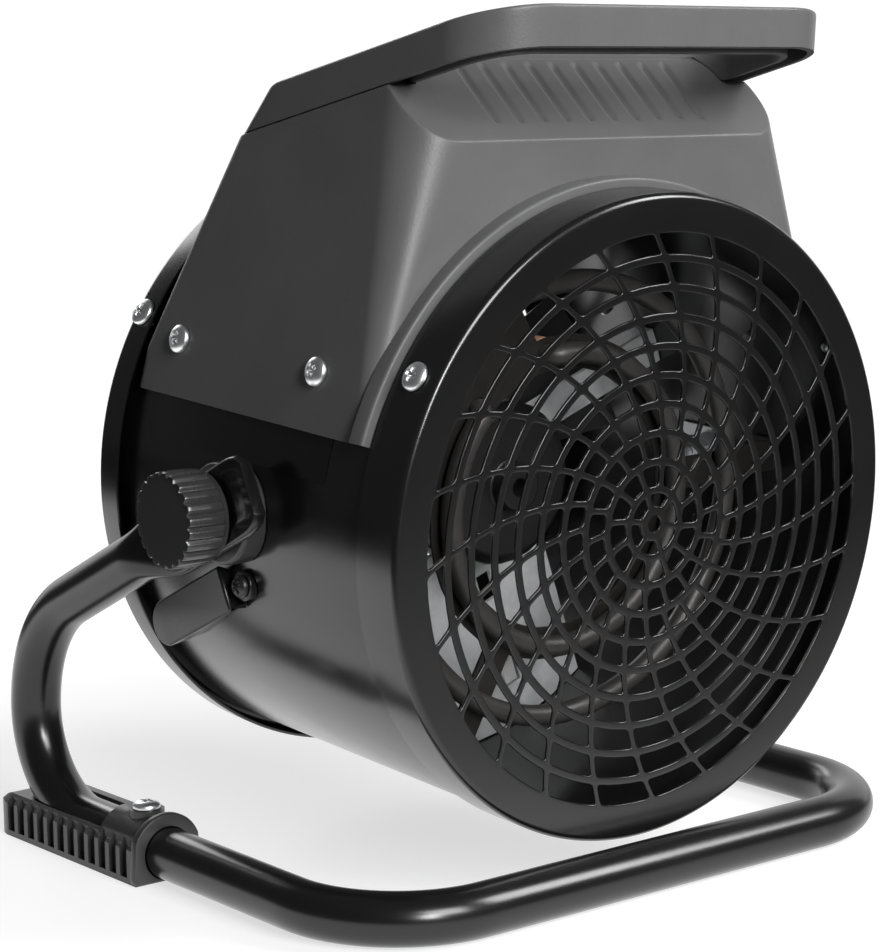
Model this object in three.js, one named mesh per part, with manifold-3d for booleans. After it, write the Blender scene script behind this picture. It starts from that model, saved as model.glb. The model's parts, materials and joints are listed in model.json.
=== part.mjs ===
// Forced air heater: a round steel barrel with a fan and tubular heating elements inside,
// a moulded top cover with a carrying handle, and a bent tube stand that lets it tilt.
// Millimetres, +Z up, the air comes out towards -Y. The origin is under the middle of the box.
import * as THREE from 'three';
import { mergeVertices } from 'three/addons/utils/BufferGeometryUtils.js';
import Module from 'manifold-3d';

const wasm = await Module();
wasm.setup();

// ---------------------------------------------------------------- driving dimensions

const GAP = 0.3;                      // running and seating gap between neighbouring pieces

// pose of the heater on its stand
const PIVOT_HEIGHT = 137.5;           // pivot axis above the floor
const REST_TILT = 3.5;                // degrees, outlet end lower than the intake end

// barrel and its two guards; depths are measured from the outlet face
const BARREL_SIDES = 48;
const BARREL_R = 113.6;
const BARREL_WALL = 1.2;
const BARREL_FRONT = 3.0;
const REAR_GUARD_BACK = 175.0;
const BARREL_REAR = REAR_GUARD_BACK - 4.0;
const PIVOT_DEPTH = 91.0;
const GUARD_WALL = 1.2;
const FRONT_GUARD_FIT = 1.6;          // outer face of the front skirt over the barrel
const FRONT_GUARD_R = BARREL_R + FRONT_GUARD_FIT;
const FRONT_GUARD_SKIRT = 21.0;
const REAR_GUARD_FIT = 4.0;           // outer face of the rear skirt over the barrel
const REAR_GUARD_R = BARREL_R + REAR_GUARD_FIT;
const REAR_GUARD_SKIRT = 12.5;
const EDGE_ROUND = 2.4;               // rolled edge between guard face and skirt
const GUARD_SCREW_ANGLES = [30, 150, 270];
const FRONT_SCREW_DEPTH = FRONT_GUARD_SKIRT - 10.0;
const REAR_SCREW_DEPTH = REAR_GUARD_BACK - 6.4;

// outlet grille: rings of openings between curved spokes
const FRONT_BAND = 13.7;              // plain rim around the openings
const GRILLE_R = FRONT_GUARD_R - FRONT_BAND;
const RING_BAR = 2.9;
const SPOKE_BAR = 2.3;
const SPOKE_SWIRL = 0.314;            // degrees of turn per millimetre of radius
const SPOKE_PHASE = 3.3;              // degrees, first spoke at the outermost ring
const RING_COUNTS = [24, 24, 24, 24, 24, 24, 24, 18, 12];
const EYE_OUTER_R = 10.8;
const EYE_BAR = 2.7;                  // ring between the eye and the innermost openings
const RING_PITCH = (GRILLE_R + RING_BAR - EYE_OUTER_R - EYE_BAR) / RING_COUNTS.length;
const EYE_INNER_R = 6.3;
const EYE_COUNT = 6;
const EYE_HOLE_R = 2.9;
const EYE_PHASE = 49.8;

// intake grille: straight radial slots in rings
const REAR_BAND = 17.6;
const INTAKE_R = REAR_GUARD_R - REAR_BAND;
const INTAKE_RING_COUNTS = [20, 15, 10];
const INTAKE_RING_BAR = 4.0;
const INTAKE_HUB_R = 26.0;
const INTAKE_RING_PITCH = (INTAKE_R + INTAKE_RING_BAR - INTAKE_HUB_R) / INTAKE_RING_COUNTS.length;
const INTAKE_SPOKE_BAR = 5.0;

// stand: one bent tube with flattened ends
const TUBE_R = 9.5;
const TUBE_WALL = 1.3;
const ARM_CLEARANCE = 13.4;           // barrel to the middle of the stand's tube
const STAND_HALF_WIDTH = BARREL_R + ARM_CLEARANCE;
const STAND_FRONT = 94.0;             // front bar centre, ahead of the pivot
const STAND_BACK = 124.0;             // lower back corner of the bend, behind the pivot
const ARM_ANGLE = 25.5;               // degrees, arm above the horizontal towards the outlet
const SHOULDER_BACK = 114.5;          // upper back corner, behind the pivot
const LOWER_BEND_R = 38.0;
const UPPER_BEND_R = 51.0;
const FRONT_BEND_R = 45.0;
const EYE_END = 28.5;                 // flattened end, past the pivot
const FLAT_LENGTH = 22.0;             // full flattening, behind the pivot
const FLAT_BLEND = 24.0;              // change from flat to round
const FLAT_HALF_WIDTH = 14.2;
const FLAT_THICKNESS = 4.7;
const FLAT_SLIT = 0.7;                // hollow left between the pressed walls

// feet
const FOOT_LENGTH = 98.0;
const FOOT_REAR = 128.0;              // behind the pivot
const FOOT_SIDE = 13.5;               // half width about the tube
const FOOT_HEIGHT = 16.0;
const FOOT_WALL_TOP = 18.0;
const FOOT_CHAMFER = 3.2;             // along the outer upper edge, over the recesses
const FOOT_COLLAR_WALL = 3.2;
const FOOT_COLLAR_LENGTH = 26.0;
const FOOT_POCKETS = 12;
const FOOT_POCKET_PITCH = 7.2;
const FOOT_POCKET_WIDTH = 4.6;
const FOOT_POCKET_DEPTH = 2.2;
const FOOT_BOSS_R = 6.6;
const FOOT_BOSS_TOP = 24.5;
const FOOT_SCREW_FROM_FRONT = 12.5;

// pivot hardware
const KNOB_R = 16.9;
const KNOB_BASE_R = 15.8;
const SPACER_R = 18.0;
const SPACER_HEIGHT = 8.6;            // above the barrel
const SPACER_ROOT = 5.6;              // how far the solid starts below the barrel before it is cut to it
const SPACER_END = BARREL_R + SPACER_HEIGHT;
const KNOB_START = SPACER_END + FLAT_THICKNESS + 2 * GAP;   // from the middle plane of the heater
const KNOB_LENGTH = 17.0;
const KNOB_FLUTES = 24;
const KNOB_FLUTE_DEPTH = 1.0;
const KNOB_BORE_DEPTH = 12.0;
const STUD_R = 4.0;
const STUD_START = BARREL_R - 14.6;
const STUD_END = KNOB_START + KNOB_BORE_DEPTH - 0.9;
const NUT_FLANGE = 22.0;
const NUT_FLANGE_THICKNESS = 1.6;
const NUT_R = 7.5;
const NUT_LENGTH = 7.0;
const STRAP_START = 15.6;             // along the arm, behind the pivot
const STRAP_END = 66.0;
const STRAP_TOP = 14.4;               // below the arm's centre line
const STRAP_WIDTH = 17.0;
const STRAP_FACE = BARREL_R + 3.6;
const STRAP_EAR_START = 1.5;
const STRAP_EAR_FACE = BARREL_R + 0.2;
const STRAP_SCREW_ALONG = 8.0;
const STRAP_SCREW_BELOW = 25.0;

// screws
const SCREW_HEAD_R = 5.1;
const SCREW_HEAD_H = 2.6;
const SCREW_SHANK_R = 1.9;
const SCREW_LENGTH = 9.0;

// top cover: tapering walls over the barrel
const COVER_WALL = 2.5;
const COVER_BOTTOM_Z = 33.6;
const COVER_STAND_OFF = 2.0;
const COVER_TANGENT_R = BARREL_R + COVER_STAND_OFF;     // the side walls lie against this circle
const COVER_SLOPE = 0.235;            // sideways lean of the side walls
const COVER_LIP_FRONT = FRONT_GUARD_SKIRT + 0.8;
const COVER_FRONT_LOW = COVER_LIP_FRONT + 3.7;          // depth of the front wall at the bottom edge
const COVER_FRONT_HIGH = COVER_FRONT_LOW + 4.5;         // and at COVER_HIGH_Z
const COVER_REAR_LOW = REAR_GUARD_BACK - REAR_GUARD_SKIRT - 0.9;
const COVER_REAR_KNEE_Z = 48.0;
const COVER_REAR_LEAN = 0.394;
const COVER_HIGH_Z = 160.0;
const COVER_FRONT_ROUND_LOW = 3.5;
const COVER_FRONT_ROUND_HIGH = 23.0;
const COVER_REAR_ROUND = 6.0;
const COVER_LIP_R = BARREL_R + 5.0;
const DECK_RISE = 17.8;               // front edge of the sloping deck over the barrel
const DECK_EDGE_Z = BARREL_R + DECK_RISE;
const DECK_EDGE_DEPTH = 29.0;
const DECK_SLOPE = 0.8;
const GROOVE_COUNT = 10;
const GROOVE_PITCH = 10.7;
const GROOVE_FRONT_DEPTH = 37.5;
const GROOVE_BACK_DEPTH = 57.3;
const GROOVE_WIDTH = 3.6;
const GROOVE_CUT = 1.2;
const COVER_SCREW_DEPTHS = [56.0, 138.0];
const COVER_SCREW_Z = 53.5;

// handle: a sloping loop with upright walls that closes the cover
const HANDLE_SLOPE = 0.292;           // fall of the loop per millimetre towards the intake
const HANDLE_RISE = 46.2;             // top edge of the front bar over the deck's front edge
const HANDLE_TOP_Z = DECK_EDGE_Z + HANDLE_RISE;
const HANDLE_FRONT = 0.0;
const HANDLE_HALF_FRONT = COVER_TANGENT_R - 35.3;       // half width at the front bar
const HANDLE_TAPER = 0.07;            // growth of the half width per millimetre of depth
const HANDLE_LENGTH = 126.0;
const HANDLE_ROUND = 27.0;
const HANDLE_REAR_ROUND = 8.0;
const HANDLE_HEIGHT = 13.8;
const HANDLE_PLATE = 3.0;
const HANDLE_WALL = 2.4;
const HANDLE_BAR = 11.0;
const HANDLE_LEG = 12.0;
const HAND_HOLE_BACK = 64.0;
const HAND_HOLE_ROUND = 16.0;
const HANDLE_RIBS = 7;
const HANDLE_RIB = 2.0;
const RIB_PITCH = 18.0;
const HANDLE_END_DEPTH = 129.5;       // lower edge of the slanted rear end
const HANDLE_END_Z = DECK_EDGE_Z - 4.4;
const HANDLE_END_LEAN = 0.82;

// controls on the back of the cover
const DIAL_X = 60.0;
const DIAL_Z = BARREL_R + 1.4;
const DIAL_R = 11.6;
const DIAL_LENGTH = 13.0;
const DIAL_SHAFT_R = 3.0;
const DIAL_BODY_R = 8.0;
const DIAL_BODY_LENGTH = 15.0;
const GLAND_X = 77.0;
const GLAND_Z = BARREL_R - 18.6;
const GLAND_R = 7.5;
const GLAND_BORE_R = 3.4;
const GLAND_WALL = 1.8;
const GLAND_INNER = 6.0;
const GLAND_LENGTH = 24.0;

// fan and motor
const FAN_TIP_GAP = 12.4;
const FAN_R = BARREL_R - BARREL_WALL - FAN_TIP_GAP;
const FAN_HUB_R = 24.0;
const FAN_DEPTH = 128.0;              // front of the hub
const FAN_HUB_LENGTH = 22.0;
const FAN_BLADES = 5;
const FAN_BLADE_THICKNESS = 1.4;
const FAN_BLADE_PITCH = 34.0;
const MOTOR_R = 31.0;
const MOTOR_FRONT = 78.0;
const MOTOR_LENGTH = 44.0;
const SHAFT_R = 3.0;
const SPIDER_ARM = 14.0;
const SPIDER_WIDE_ARM = 64.0;
const SPIDER_WIDE_ANGLE = 291.5;      // degrees, the wide arm; the others follow at equal steps
const SPIDER_THICKNESS = 2.0;
const SPIDER_ARMS = 4;
const SPIDER_TAB = 12.0;

// heating elements and their holder
const ELEMENT_R = 4.0;
const OUTER_LOOP_R = BARREL_R - 33.6;
const INNER_LOOP_R = OUTER_LOOP_R - 26.0;
const OUTER_LOOP_DEPTH = 46.0;
const INNER_LOOP_DEPTH = 46.0;
const LOOP_START = 138.0;             // degrees, both loops begin beside the terminals
const OUTER_LOOP_SWEEP = 330.0;
const INNER_LOOP_SWEEP = 322.0;
const ELEMENT_TAIL = 14.0;
const HOLDER_DEPTH = 56.0;
const HOLDER_THICKNESS = 1.2;
const HOLDER_WIDTH = 40.0;
const HOLDER_SLOTS = 3;
const BAND_WIDTH = 12.0;
const BUSH_R = 6.2;
const BUSH_LENGTH = 11.0;

// ---------------------------------------------------------------- geometry helpers

const rad = THREE.MathUtils.degToRad;
const v3 = (x, y, z) => new THREE.Vector3(x, y, z);

function toSolid(geometry) {
  const bare = geometry.clone();
  bare.deleteAttribute('normal');
  bare.deleteAttribute('uv');
  const merged = mergeVertices(bare, 1e-4);
  const vertProperties = new Float32Array(merged.attributes.position.array);
  const triVerts = new Uint32Array(merged.index.array);
  if (signedVolume(vertProperties, triVerts) < 0) {
    for (let i = 0; i < triVerts.length; i += 3) {
      [triVerts[i], triVerts[i + 1]] = [triVerts[i + 1], triVerts[i]];
    }
  }
  return new wasm.Manifold(new wasm.Mesh({ numProp: 3, vertProperties, triVerts }));
}

function signedVolume(points, triangles) {
  const [a, b, c] = [v3(), v3(), v3()];
  let volume = 0;
  for (let i = 0; i < triangles.length; i += 3) {
    a.fromArray(points, 3 * triangles[i]);
    b.fromArray(points, 3 * triangles[i + 1]);
    c.fromArray(points, 3 * triangles[i + 2]);
    volume += a.dot(b.cross(c)) / 6;
  }
  return volume;
}

function toGeometry(solid) {
  const mesh = solid.getMesh();
  const geometry = new THREE.BufferGeometry();
  geometry.setAttribute('position', new THREE.BufferAttribute(new Float32Array(mesh.vertProperties), 3));
  geometry.setIndex(new THREE.BufferAttribute(new Uint32Array(mesh.triVerts), 1));
  geometry.computeVertexNormals();
  return geometry;
}

const join = (first, ...others) => others.reduce((sum, other) => sum.add(other), first);
const cut = (first, ...others) => others.reduce((rest, other) => rest.subtract(other), first);
const common = (first, ...others) => others.reduce((rest, other) => rest.intersect(other), first);

function box(x0, x1, y0, y1, z0, z1) {
  const geometry = new THREE.BoxGeometry(x1 - x0, y1 - y0, z1 - z0);
  geometry.translate((x0 + x1) / 2, (y0 + y1) / 2, (z0 + z1) / 2);
  return toSolid(geometry);
}

// a round bar between two points
function rod(from, to, radius, sides = 16) {
  const length = from.distanceTo(to);
  const geometry = new THREE.CylinderGeometry(radius, radius, length, sides);
  geometry.translate(0, length / 2, 0);
  const turn = new THREE.Quaternion().setFromUnitVectors(v3(0, 1, 0), to.clone().sub(from).normalize());
  geometry.applyQuaternion(turn);
  geometry.translate(from.x, from.y, from.z);
  return toSolid(geometry);
}

// a profile of [radius, depth] pairs turned about the barrel axis (Y)
function turned(profile, sides = BARREL_SIDES) {
  const points = profile.map(([r, y]) => new THREE.Vector2(r, y));
  points.push(points[0].clone());
  return toSolid(new THREE.LatheGeometry(points, sides));
}

// the same profile turned about any axis that starts at a point
function turnedAt(profile, origin, direction, sides = 24) {
  const points = profile.map(([r, y]) => new THREE.Vector2(r, y));
  points.push(points[0].clone());
  const geometry = new THREE.LatheGeometry(points, sides);
  const turn = new THREE.Quaternion().setFromUnitVectors(v3(0, 1, 0), direction.clone().normalize());
  geometry.applyQuaternion(turn);
  geometry.translate(origin.x, origin.y, origin.z);
  return toSolid(geometry);
}

// a flat outline in (x, z), given a thickness from depth y0 to y1
function plateXZ(shape, y0, y1, curveSegments = 8) {
  const geometry = new THREE.ExtrudeGeometry(shape, { depth: y1 - y0, bevelEnabled: false, curveSegments });
  geometry.rotateX(Math.PI / 2);
  geometry.translate(0, y1, 0);
  return toSolid(geometry);
}

// a flat outline in (y, z), given a thickness from x0 to x1
function plateYZ(shape, x0, x1, curveSegments = 8) {
  const geometry = new THREE.ExtrudeGeometry(shape, { depth: x1 - x0, bevelEnabled: false, curveSegments });
  const toYZ = new THREE.Matrix4().makeBasis(v3(0, 1, 0), v3(0, 0, 1), v3(1, 0, 0));
  geometry.applyMatrix4(toYZ);
  geometry.translate(x0, 0, 0);
  return toSolid(geometry);
}

// flat outline in (x, y) with a thickness from z0 to z1
function plateXY(shape, z0, z1, curveSegments = 6) {
  const geometry = new THREE.ExtrudeGeometry(shape, { depth: z1 - z0, bevelEnabled: false, curveSegments });
  geometry.translate(0, 0, z0);
  return toSolid(geometry);
}

function polygon(points) {
  return new THREE.Shape(points.map(([u, v]) => new THREE.Vector2(u, v)));
}

// closed skin over equal rings of points, with a fan of triangles on each end
function loft(rings) {
  const count = rings[0].length;
  const points = rings.flat();
  const middles = [rings[0], rings[rings.length - 1]].map((ring) => (
    ring.reduce((sum, point) => sum.add(point), v3(0, 0, 0)).divideScalar(count)
  ));
  points.push(...middles);
  const index = [];
  const at = (ring, i) => ring * count + (i % count);
  for (let ring = 0; ring < rings.length - 1; ring += 1) {
    for (let i = 0; i < count; i += 1) {
      index.push(at(ring, i), at(ring, i + 1), at(ring + 1, i + 1));
      index.push(at(ring, i), at(ring + 1, i + 1), at(ring + 1, i));
    }
  }
  const last = rings.length - 1;
  for (let i = 0; i < count; i += 1) {
    index.push(rings.length * count, at(0, i + 1), at(0, i));
    index.push(rings.length * count + 1, at(last, i), at(last, i + 1));
  }
  const geometry = new THREE.BufferGeometry();
  geometry.setAttribute('position', new THREE.Float32BufferAttribute(points.flatMap((p) => p.toArray()), 3));
  geometry.setIndex(index);
  return toSolid(geometry);
}

// points along straight runs joined by arcs: corners are [point, radius]
function roundedPath(corners, arcSteps) {
  const path = [corners[0][0].clone()];
  for (let i = 1; i < corners.length - 1; i += 1) {
    const [corner, radius] = corners[i];
    const back = corners[i - 1][0].clone().sub(corner).normalize();
    const ahead = corners[i + 1][0].clone().sub(corner).normalize();
    const half = back.angleTo(ahead) / 2;
    const reach = radius / Math.tan(half);
    const centre = back.clone().add(ahead).normalize().multiplyScalar(radius / Math.sin(half)).add(corner);
    const start = back.clone().multiplyScalar(reach).add(corner).sub(centre);
    const end = ahead.clone().multiplyScalar(reach).add(corner).sub(centre);
    const sweep = Math.PI - 2 * half;
    for (let step = 0; step <= arcSteps; step += 1) {
      const t = step / arcSteps;
      const point = start.clone().multiplyScalar(Math.sin((1 - t) * sweep) / Math.sin(sweep))
        .add(end.clone().multiplyScalar(Math.sin(t * sweep) / Math.sin(sweep)));
      path.push(point.add(centre));
    }
  }
  path.push(corners[corners.length - 1][0].clone());
  return path;
}

// a section function placed along a path without twist: section(distance) gives [u, v] pairs
function swept(path, startSide, section) {
  const rings = [];
  let side = startSide.clone();
  let walked = 0;
  for (let i = 0; i < path.length; i += 1) {
    const ahead = path[Math.min(i + 1, path.length - 1)].clone().sub(path[i]);
    const behind = path[i].clone().sub(path[Math.max(i - 1, 0)]);
    if (i > 0) walked += behind.length();
    const tangent = ahead.normalize().add(behind.normalize()).normalize();
    side = side.sub(tangent.clone().multiplyScalar(side.dot(tangent))).normalize();
    const up = tangent.clone().cross(side);
    rings.push(section(walked).map(([u, v]) => (
      path[i].clone().add(side.clone().multiplyScalar(u)).add(up.clone().multiplyScalar(v))
    )));
  }
  return loft(rings);
}

function roundSection(radius, sides) {
  return Array.from({ length: sides }, (_, i) => {
    const angle = (2 * Math.PI * i) / sides;
    return [radius * Math.cos(angle), radius * Math.sin(angle)];
  });
}

// ---------------------------------------------------------------- scene graph

const heater = new THREE.Group();
const OVERALL_CENTRE = (FOOT_REAR - STAND_FRONT - TUBE_R) / 2;
const frame = new THREE.Group();            // pivot axis of the stand
frame.position.set(0, -OVERALL_CENTRE, PIVOT_HEIGHT);
heater.add(frame);
const body = new THREE.Group();             // everything that tilts
body.rotation.x = rad(REST_TILT);
frame.add(body);
const casing = new THREE.Group();           // depths count from the outlet face
casing.position.y = -PIVOT_DEPTH;
body.add(casing);

function finish(color, roughness, metalness) {
  return { color, roughness, metalness };
}

const PAINTED_STEEL = finish(0x141516, 0.38, 0.2);
const STAND_PAINT = finish(0x101112, 0.3, 0.2);
const MOULDED = finish(0x2a2b2d, 0.6, 0.0);
const SOFT_BLACK = finish(0x19191a, 0.65, 0.0);
const ZINC = finish(0xc9ced2, 0.3, 1.0);
const GALVANISED = finish(0xaeb1b3, 0.4, 0.9);
const BLACK_STEEL = finish(0x1c1c1e, 0.4, 0.6);
const ELEMENT_STEEL = finish(0x4a4640, 0.5, 0.8);
const CERAMIC = finish(0xb98f7c, 0.7, 0.0);
const FAN_ALLOY = finish(0x8f9294, 0.45, 0.8);
const LIGHT_PLASTIC = finish(0xc7c3b6, 0.6, 0.0);

function add(parent, name, solid, surface) {
  const mesh = new THREE.Mesh(toGeometry(solid), new THREE.MeshStandardMaterial(surface));
  mesh.name = name;
  parent.add(mesh);
  return mesh;
}

// ---------------------------------------------------------------- fasteners

// pan-head screw: the head's underside lies at the origin, the shank points along the direction
function screw(origin, direction, length = SCREW_LENGTH) {
  return turnedAt([
    [0, -SCREW_HEAD_H], [0.7 * SCREW_HEAD_R, -0.85 * SCREW_HEAD_H], [SCREW_HEAD_R, 0],
    [SCREW_SHANK_R, 0], [SCREW_SHANK_R, length], [0, length],
  ], origin, direction, 10);
}

function screwHole(origin, direction, length = SCREW_LENGTH) {
  const way = direction.clone().normalize();
  const from = origin.clone().sub(way.clone().multiplyScalar(SCREW_HEAD_H));
  const to = origin.clone().add(way.multiplyScalar(length + 1));
  return rod(from, to, SCREW_SHANK_R + GAP, 8);
}

// a point on a circle about the barrel axis, and the way in towards that axis
function radialPoint(radius, angle, depth) {
  return v3(radius * Math.cos(rad(angle)), depth, radius * Math.sin(rad(angle)));
}

function inward(angle) {
  return v3(-Math.cos(rad(angle)), 0, -Math.sin(rad(angle)));
}

// ---------------------------------------------------------------- guards

// one opening between two neighbouring spokes of a ring
function openingPath(outer, inner, count, index, phase, swirl, bar, arcSteps) {
  const spoke = (radius, k) => phase + (360 / count) * k - swirl * (GRILLE_R - radius);
  const edge = (radius, k, side) => spoke(radius, k) + side * THREE.MathUtils.radToDeg(bar / 2 / radius);
  const points = [];
  for (let s = 0; s <= arcSteps; s += 1) {
    const angle = THREE.MathUtils.lerp(edge(outer, index, 1), edge(outer, index + 1, -1), s / arcSteps);
    points.push([outer * Math.cos(rad(angle)), outer * Math.sin(rad(angle))]);
  }
  for (let s = arcSteps; s >= 0; s -= 1) {
    const angle = THREE.MathUtils.lerp(edge(inner, index, 1), edge(inner, index + 1, -1), s / arcSteps);
    points.push([inner * Math.cos(rad(angle)), inner * Math.sin(rad(angle))]);
  }
  return new THREE.Path(points.map(([x, z]) => new THREE.Vector2(x, z)));
}

function circleShape(radius, sides) {
  return polygon(roundSection(radius, sides));
}

function swirlFace(radius) {
  const face = circleShape(radius, BARREL_SIDES);
  RING_COUNTS.forEach((count, ring) => {
    const outer = GRILLE_R - RING_PITCH * ring;
    const inner = outer - RING_PITCH + RING_BAR;
    for (let i = 0; i < count; i += 1) {
      face.holes.push(openingPath(outer, inner, count, i, SPOKE_PHASE, SPOKE_SWIRL, SPOKE_BAR, 1));
    }
  });
  for (let i = 0; i < EYE_COUNT; i += 1) {
    face.holes.push(openingPath(EYE_OUTER_R, EYE_INNER_R, EYE_COUNT, i, EYE_PHASE, 0, SPOKE_BAR, 1));
  }
  face.holes.push(new THREE.Path(roundSection(EYE_HOLE_R, 8).map(([x, z]) => new THREE.Vector2(x, z))));
  return face;
}

function intakeFace(radius) {
  const face = circleShape(radius, BARREL_SIDES);
  INTAKE_RING_COUNTS.forEach((count, ring) => {
    const outer = INTAKE_R - INTAKE_RING_PITCH * ring;
    const inner = outer - INTAKE_RING_PITCH + INTAKE_RING_BAR;
    for (let i = 0; i < count; i += 1) {
      face.holes.push(openingPath(outer, inner, count, i, 0, 0, INTAKE_SPOKE_BAR, 1));
    }
  });
  return face;
}

// pressed pan: flat rim, rolled edge and skirt; skirtEnd is the depth of the open side
function panRim(outerR, innerR, faceDepth, skirtEnd) {
  const out = Math.sign(skirtEnd - faceDepth);
  const edge = [];
  for (let s = 0; s <= 2; s += 1) {
    const angle = (s / 2) * (Math.PI / 2);
    edge.push([
      outerR - EDGE_ROUND + EDGE_ROUND * Math.sin(angle),
      faceDepth + out * (EDGE_ROUND - EDGE_ROUND * Math.cos(angle)),
    ]);
  }
  return turned([
    [innerR, faceDepth], ...edge, [outerR, skirtEnd],
    [outerR - GUARD_WALL, skirtEnd], [outerR - GUARD_WALL, faceDepth + out * EDGE_ROUND],
    [outerR - EDGE_ROUND, faceDepth + out * GUARD_WALL], [innerR, faceDepth + out * GUARD_WALL],
  ]);
}

function guardScrews(radius, depth, solid) {
  const holes = GUARD_SCREW_ANGLES.map((angle) => (
    screwHole(radialPoint(radius, angle, depth), inward(angle))
  ));
  return cut(solid, ...holes);
}

const frontRim = panRim(FRONT_GUARD_R, GRILLE_R + 2, 0, FRONT_GUARD_SKIRT);
const frontFace = plateXZ(swirlFace(GRILLE_R + 4), 0, GUARD_WALL);
const frontGuard = guardScrews(FRONT_GUARD_R, FRONT_SCREW_DEPTH, join(frontRim, frontFace));
add(casing, 'front_guard', frontGuard, PAINTED_STEEL);

const REAR_SKIRT_EDGE = REAR_GUARD_BACK - REAR_GUARD_SKIRT;
const rearRim = panRim(REAR_GUARD_R, INTAKE_R + 2, REAR_GUARD_BACK, REAR_SKIRT_EDGE);
const rearFace = plateXZ(intakeFace(INTAKE_R + 4), REAR_GUARD_BACK - GUARD_WALL, REAR_GUARD_BACK);
const rearSpacers = GUARD_SCREW_ANGLES.map((angle) => rod(
  radialPoint(BARREL_R + GAP, angle, REAR_SCREW_DEPTH),
  radialPoint(REAR_GUARD_R - 0.6 * GUARD_WALL, angle, REAR_SCREW_DEPTH),
  4.2,
));
const barrelClear = turned([[0, -50], [BARREL_R + GAP, -50], [BARREL_R + GAP, 250], [0, 250]]);
const rearPan = join(rearRim, rearFace, ...rearSpacers);
const rearClear = turned([
  [0, REAR_SKIRT_EDGE - 5], [BARREL_R + GAP, REAR_SKIRT_EDGE - 5],
  [BARREL_R + GAP, REAR_GUARD_BACK - 2], [0, REAR_GUARD_BACK - 2],
]);
const rearGuard = guardScrews(REAR_GUARD_R, REAR_SCREW_DEPTH, cut(rearPan, rearClear));
add(casing, 'rear_guard', rearGuard, PAINTED_STEEL);

// ---------------------------------------------------------------- barrel

const barrelInner = BARREL_R - BARREL_WALL;
const barrelTube = turned([
  [BARREL_R, BARREL_FRONT], [BARREL_R, BARREL_REAR],
  [barrelInner, BARREL_REAR], [barrelInner, BARREL_FRONT],
]);

const armAngle = rad(ARM_ANGLE + REST_TILT);    // arm direction seen from the casing
function armPoint(along, above, x) {
  // a point given along the arm towards its end and above its centre line, in the casing
  const y = PIVOT_DEPTH - along * Math.cos(armAngle) + above * Math.sin(armAngle);
  const z = along * Math.sin(armAngle) + above * Math.cos(armAngle);
  return v3(x, y, z);
}

const barrelHoles = [];
GUARD_SCREW_ANGLES.forEach((angle) => {
  barrelHoles.push(screwHole(radialPoint(FRONT_GUARD_R, angle, FRONT_SCREW_DEPTH), inward(angle)));
  barrelHoles.push(screwHole(radialPoint(REAR_GUARD_R, angle, REAR_SCREW_DEPTH), inward(angle)));
});

const coverOuterX = (z) => (COVER_TANGENT_R * Math.sqrt(1 + COVER_SLOPE ** 2)) - COVER_SLOPE * z;
const coverScrewDirection = (side) => v3(-side, 0, -COVER_SLOPE).normalize();
const coverScrewSeats = [];
[-1, 1].forEach((side) => COVER_SCREW_DEPTHS.forEach((depth) => {
  coverScrewSeats.push({ side, depth, origin: v3(side * coverOuterX(COVER_SCREW_Z), depth, COVER_SCREW_Z) });
}));
coverScrewSeats.forEach(({ side, origin }) => {
  barrelHoles.push(screwHole(origin, coverScrewDirection(side), SCREW_LENGTH + 2));
});
[-1, 1].forEach((side) => {
  const stud = v3(side * 90, PIVOT_DEPTH, 0);
  barrelHoles.push(rod(stud, stud.clone().setX(side * 130), STUD_R + GAP));
  const strap = armPoint(-STRAP_SCREW_ALONG, -STRAP_SCREW_BELOW, side * 95);
  barrelHoles.push(rod(strap, strap.clone().setX(side * 130), SCREW_SHANK_R + GAP, 8));
});
const wireway = box(-32, 32, 96, 124, 90, 130);
add(casing, 'barrel', cut(barrelTube, wireway, ...barrelHoles), PAINTED_STEEL);

GUARD_SCREW_ANGLES.forEach((angle, i) => {
  const front = screw(radialPoint(FRONT_GUARD_R + GAP, angle, FRONT_SCREW_DEPTH), inward(angle));
  add(casing, `front_guard_screw_${i + 1}`, front, ZINC);
  const rear = screw(radialPoint(REAR_GUARD_R + GAP, angle, REAR_SCREW_DEPTH), inward(angle));
  add(casing, `rear_guard_screw_${i + 1}`, rear, ZINC);
});
coverScrewSeats.forEach(({ side, origin }, i) => {
  const way = coverScrewDirection(side);
  const seat = origin.clone().sub(way.clone().multiplyScalar(GAP));
  add(casing, `cover_screw_${i + 1}`, screw(seat, way, SCREW_LENGTH + 1), ZINC);
});

// ---------------------------------------------------------------- handle and cover

const handleTop = (depth) => HANDLE_TOP_Z - HANDLE_SLOPE * (depth - HANDLE_FRONT);

// the space between two planes parallel to the handle's top, given in millimetres down from it
function handleLayer(downFrom, downTo) {
  return plateYZ(polygon([
    [-60, handleTop(-60) - downTo], [260, handleTop(260) - downTo],
    [260, handleTop(260) - downFrom], [-60, handleTop(-60) - downFrom],
  ]), -200, 200);
}

// plan outline that widens towards the back, all edges set in by "inset"
function handlePlan(inset, front, back, frontRound, rearRound) {
  const half = (y) => HANDLE_HALF_FRONT + HANDLE_TAPER * y - inset;
  const points = [];
  const corner = (sx, cy, r, from) => {
    for (let step = 0; step <= 4; step += 1) {
      const angle = rad(from + 22.5 * step);
      points.push([sx * (half(cy) - r) + r * Math.cos(angle), cy + r * Math.sin(angle)]);
    }
  };
  corner(1, front + frontRound, frontRound, -90);
  corner(1, back - rearRound, rearRound, 0);
  corner(-1, back - rearRound, rearRound, 90);
  corner(-1, front + frontRound, frontRound, 180);
  return points;
}

function handlePrism(points, downFrom, downTo) {
  return common(plateXY(polygon(points), 40, 240), handleLayer(downFrom, downTo));
}

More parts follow.
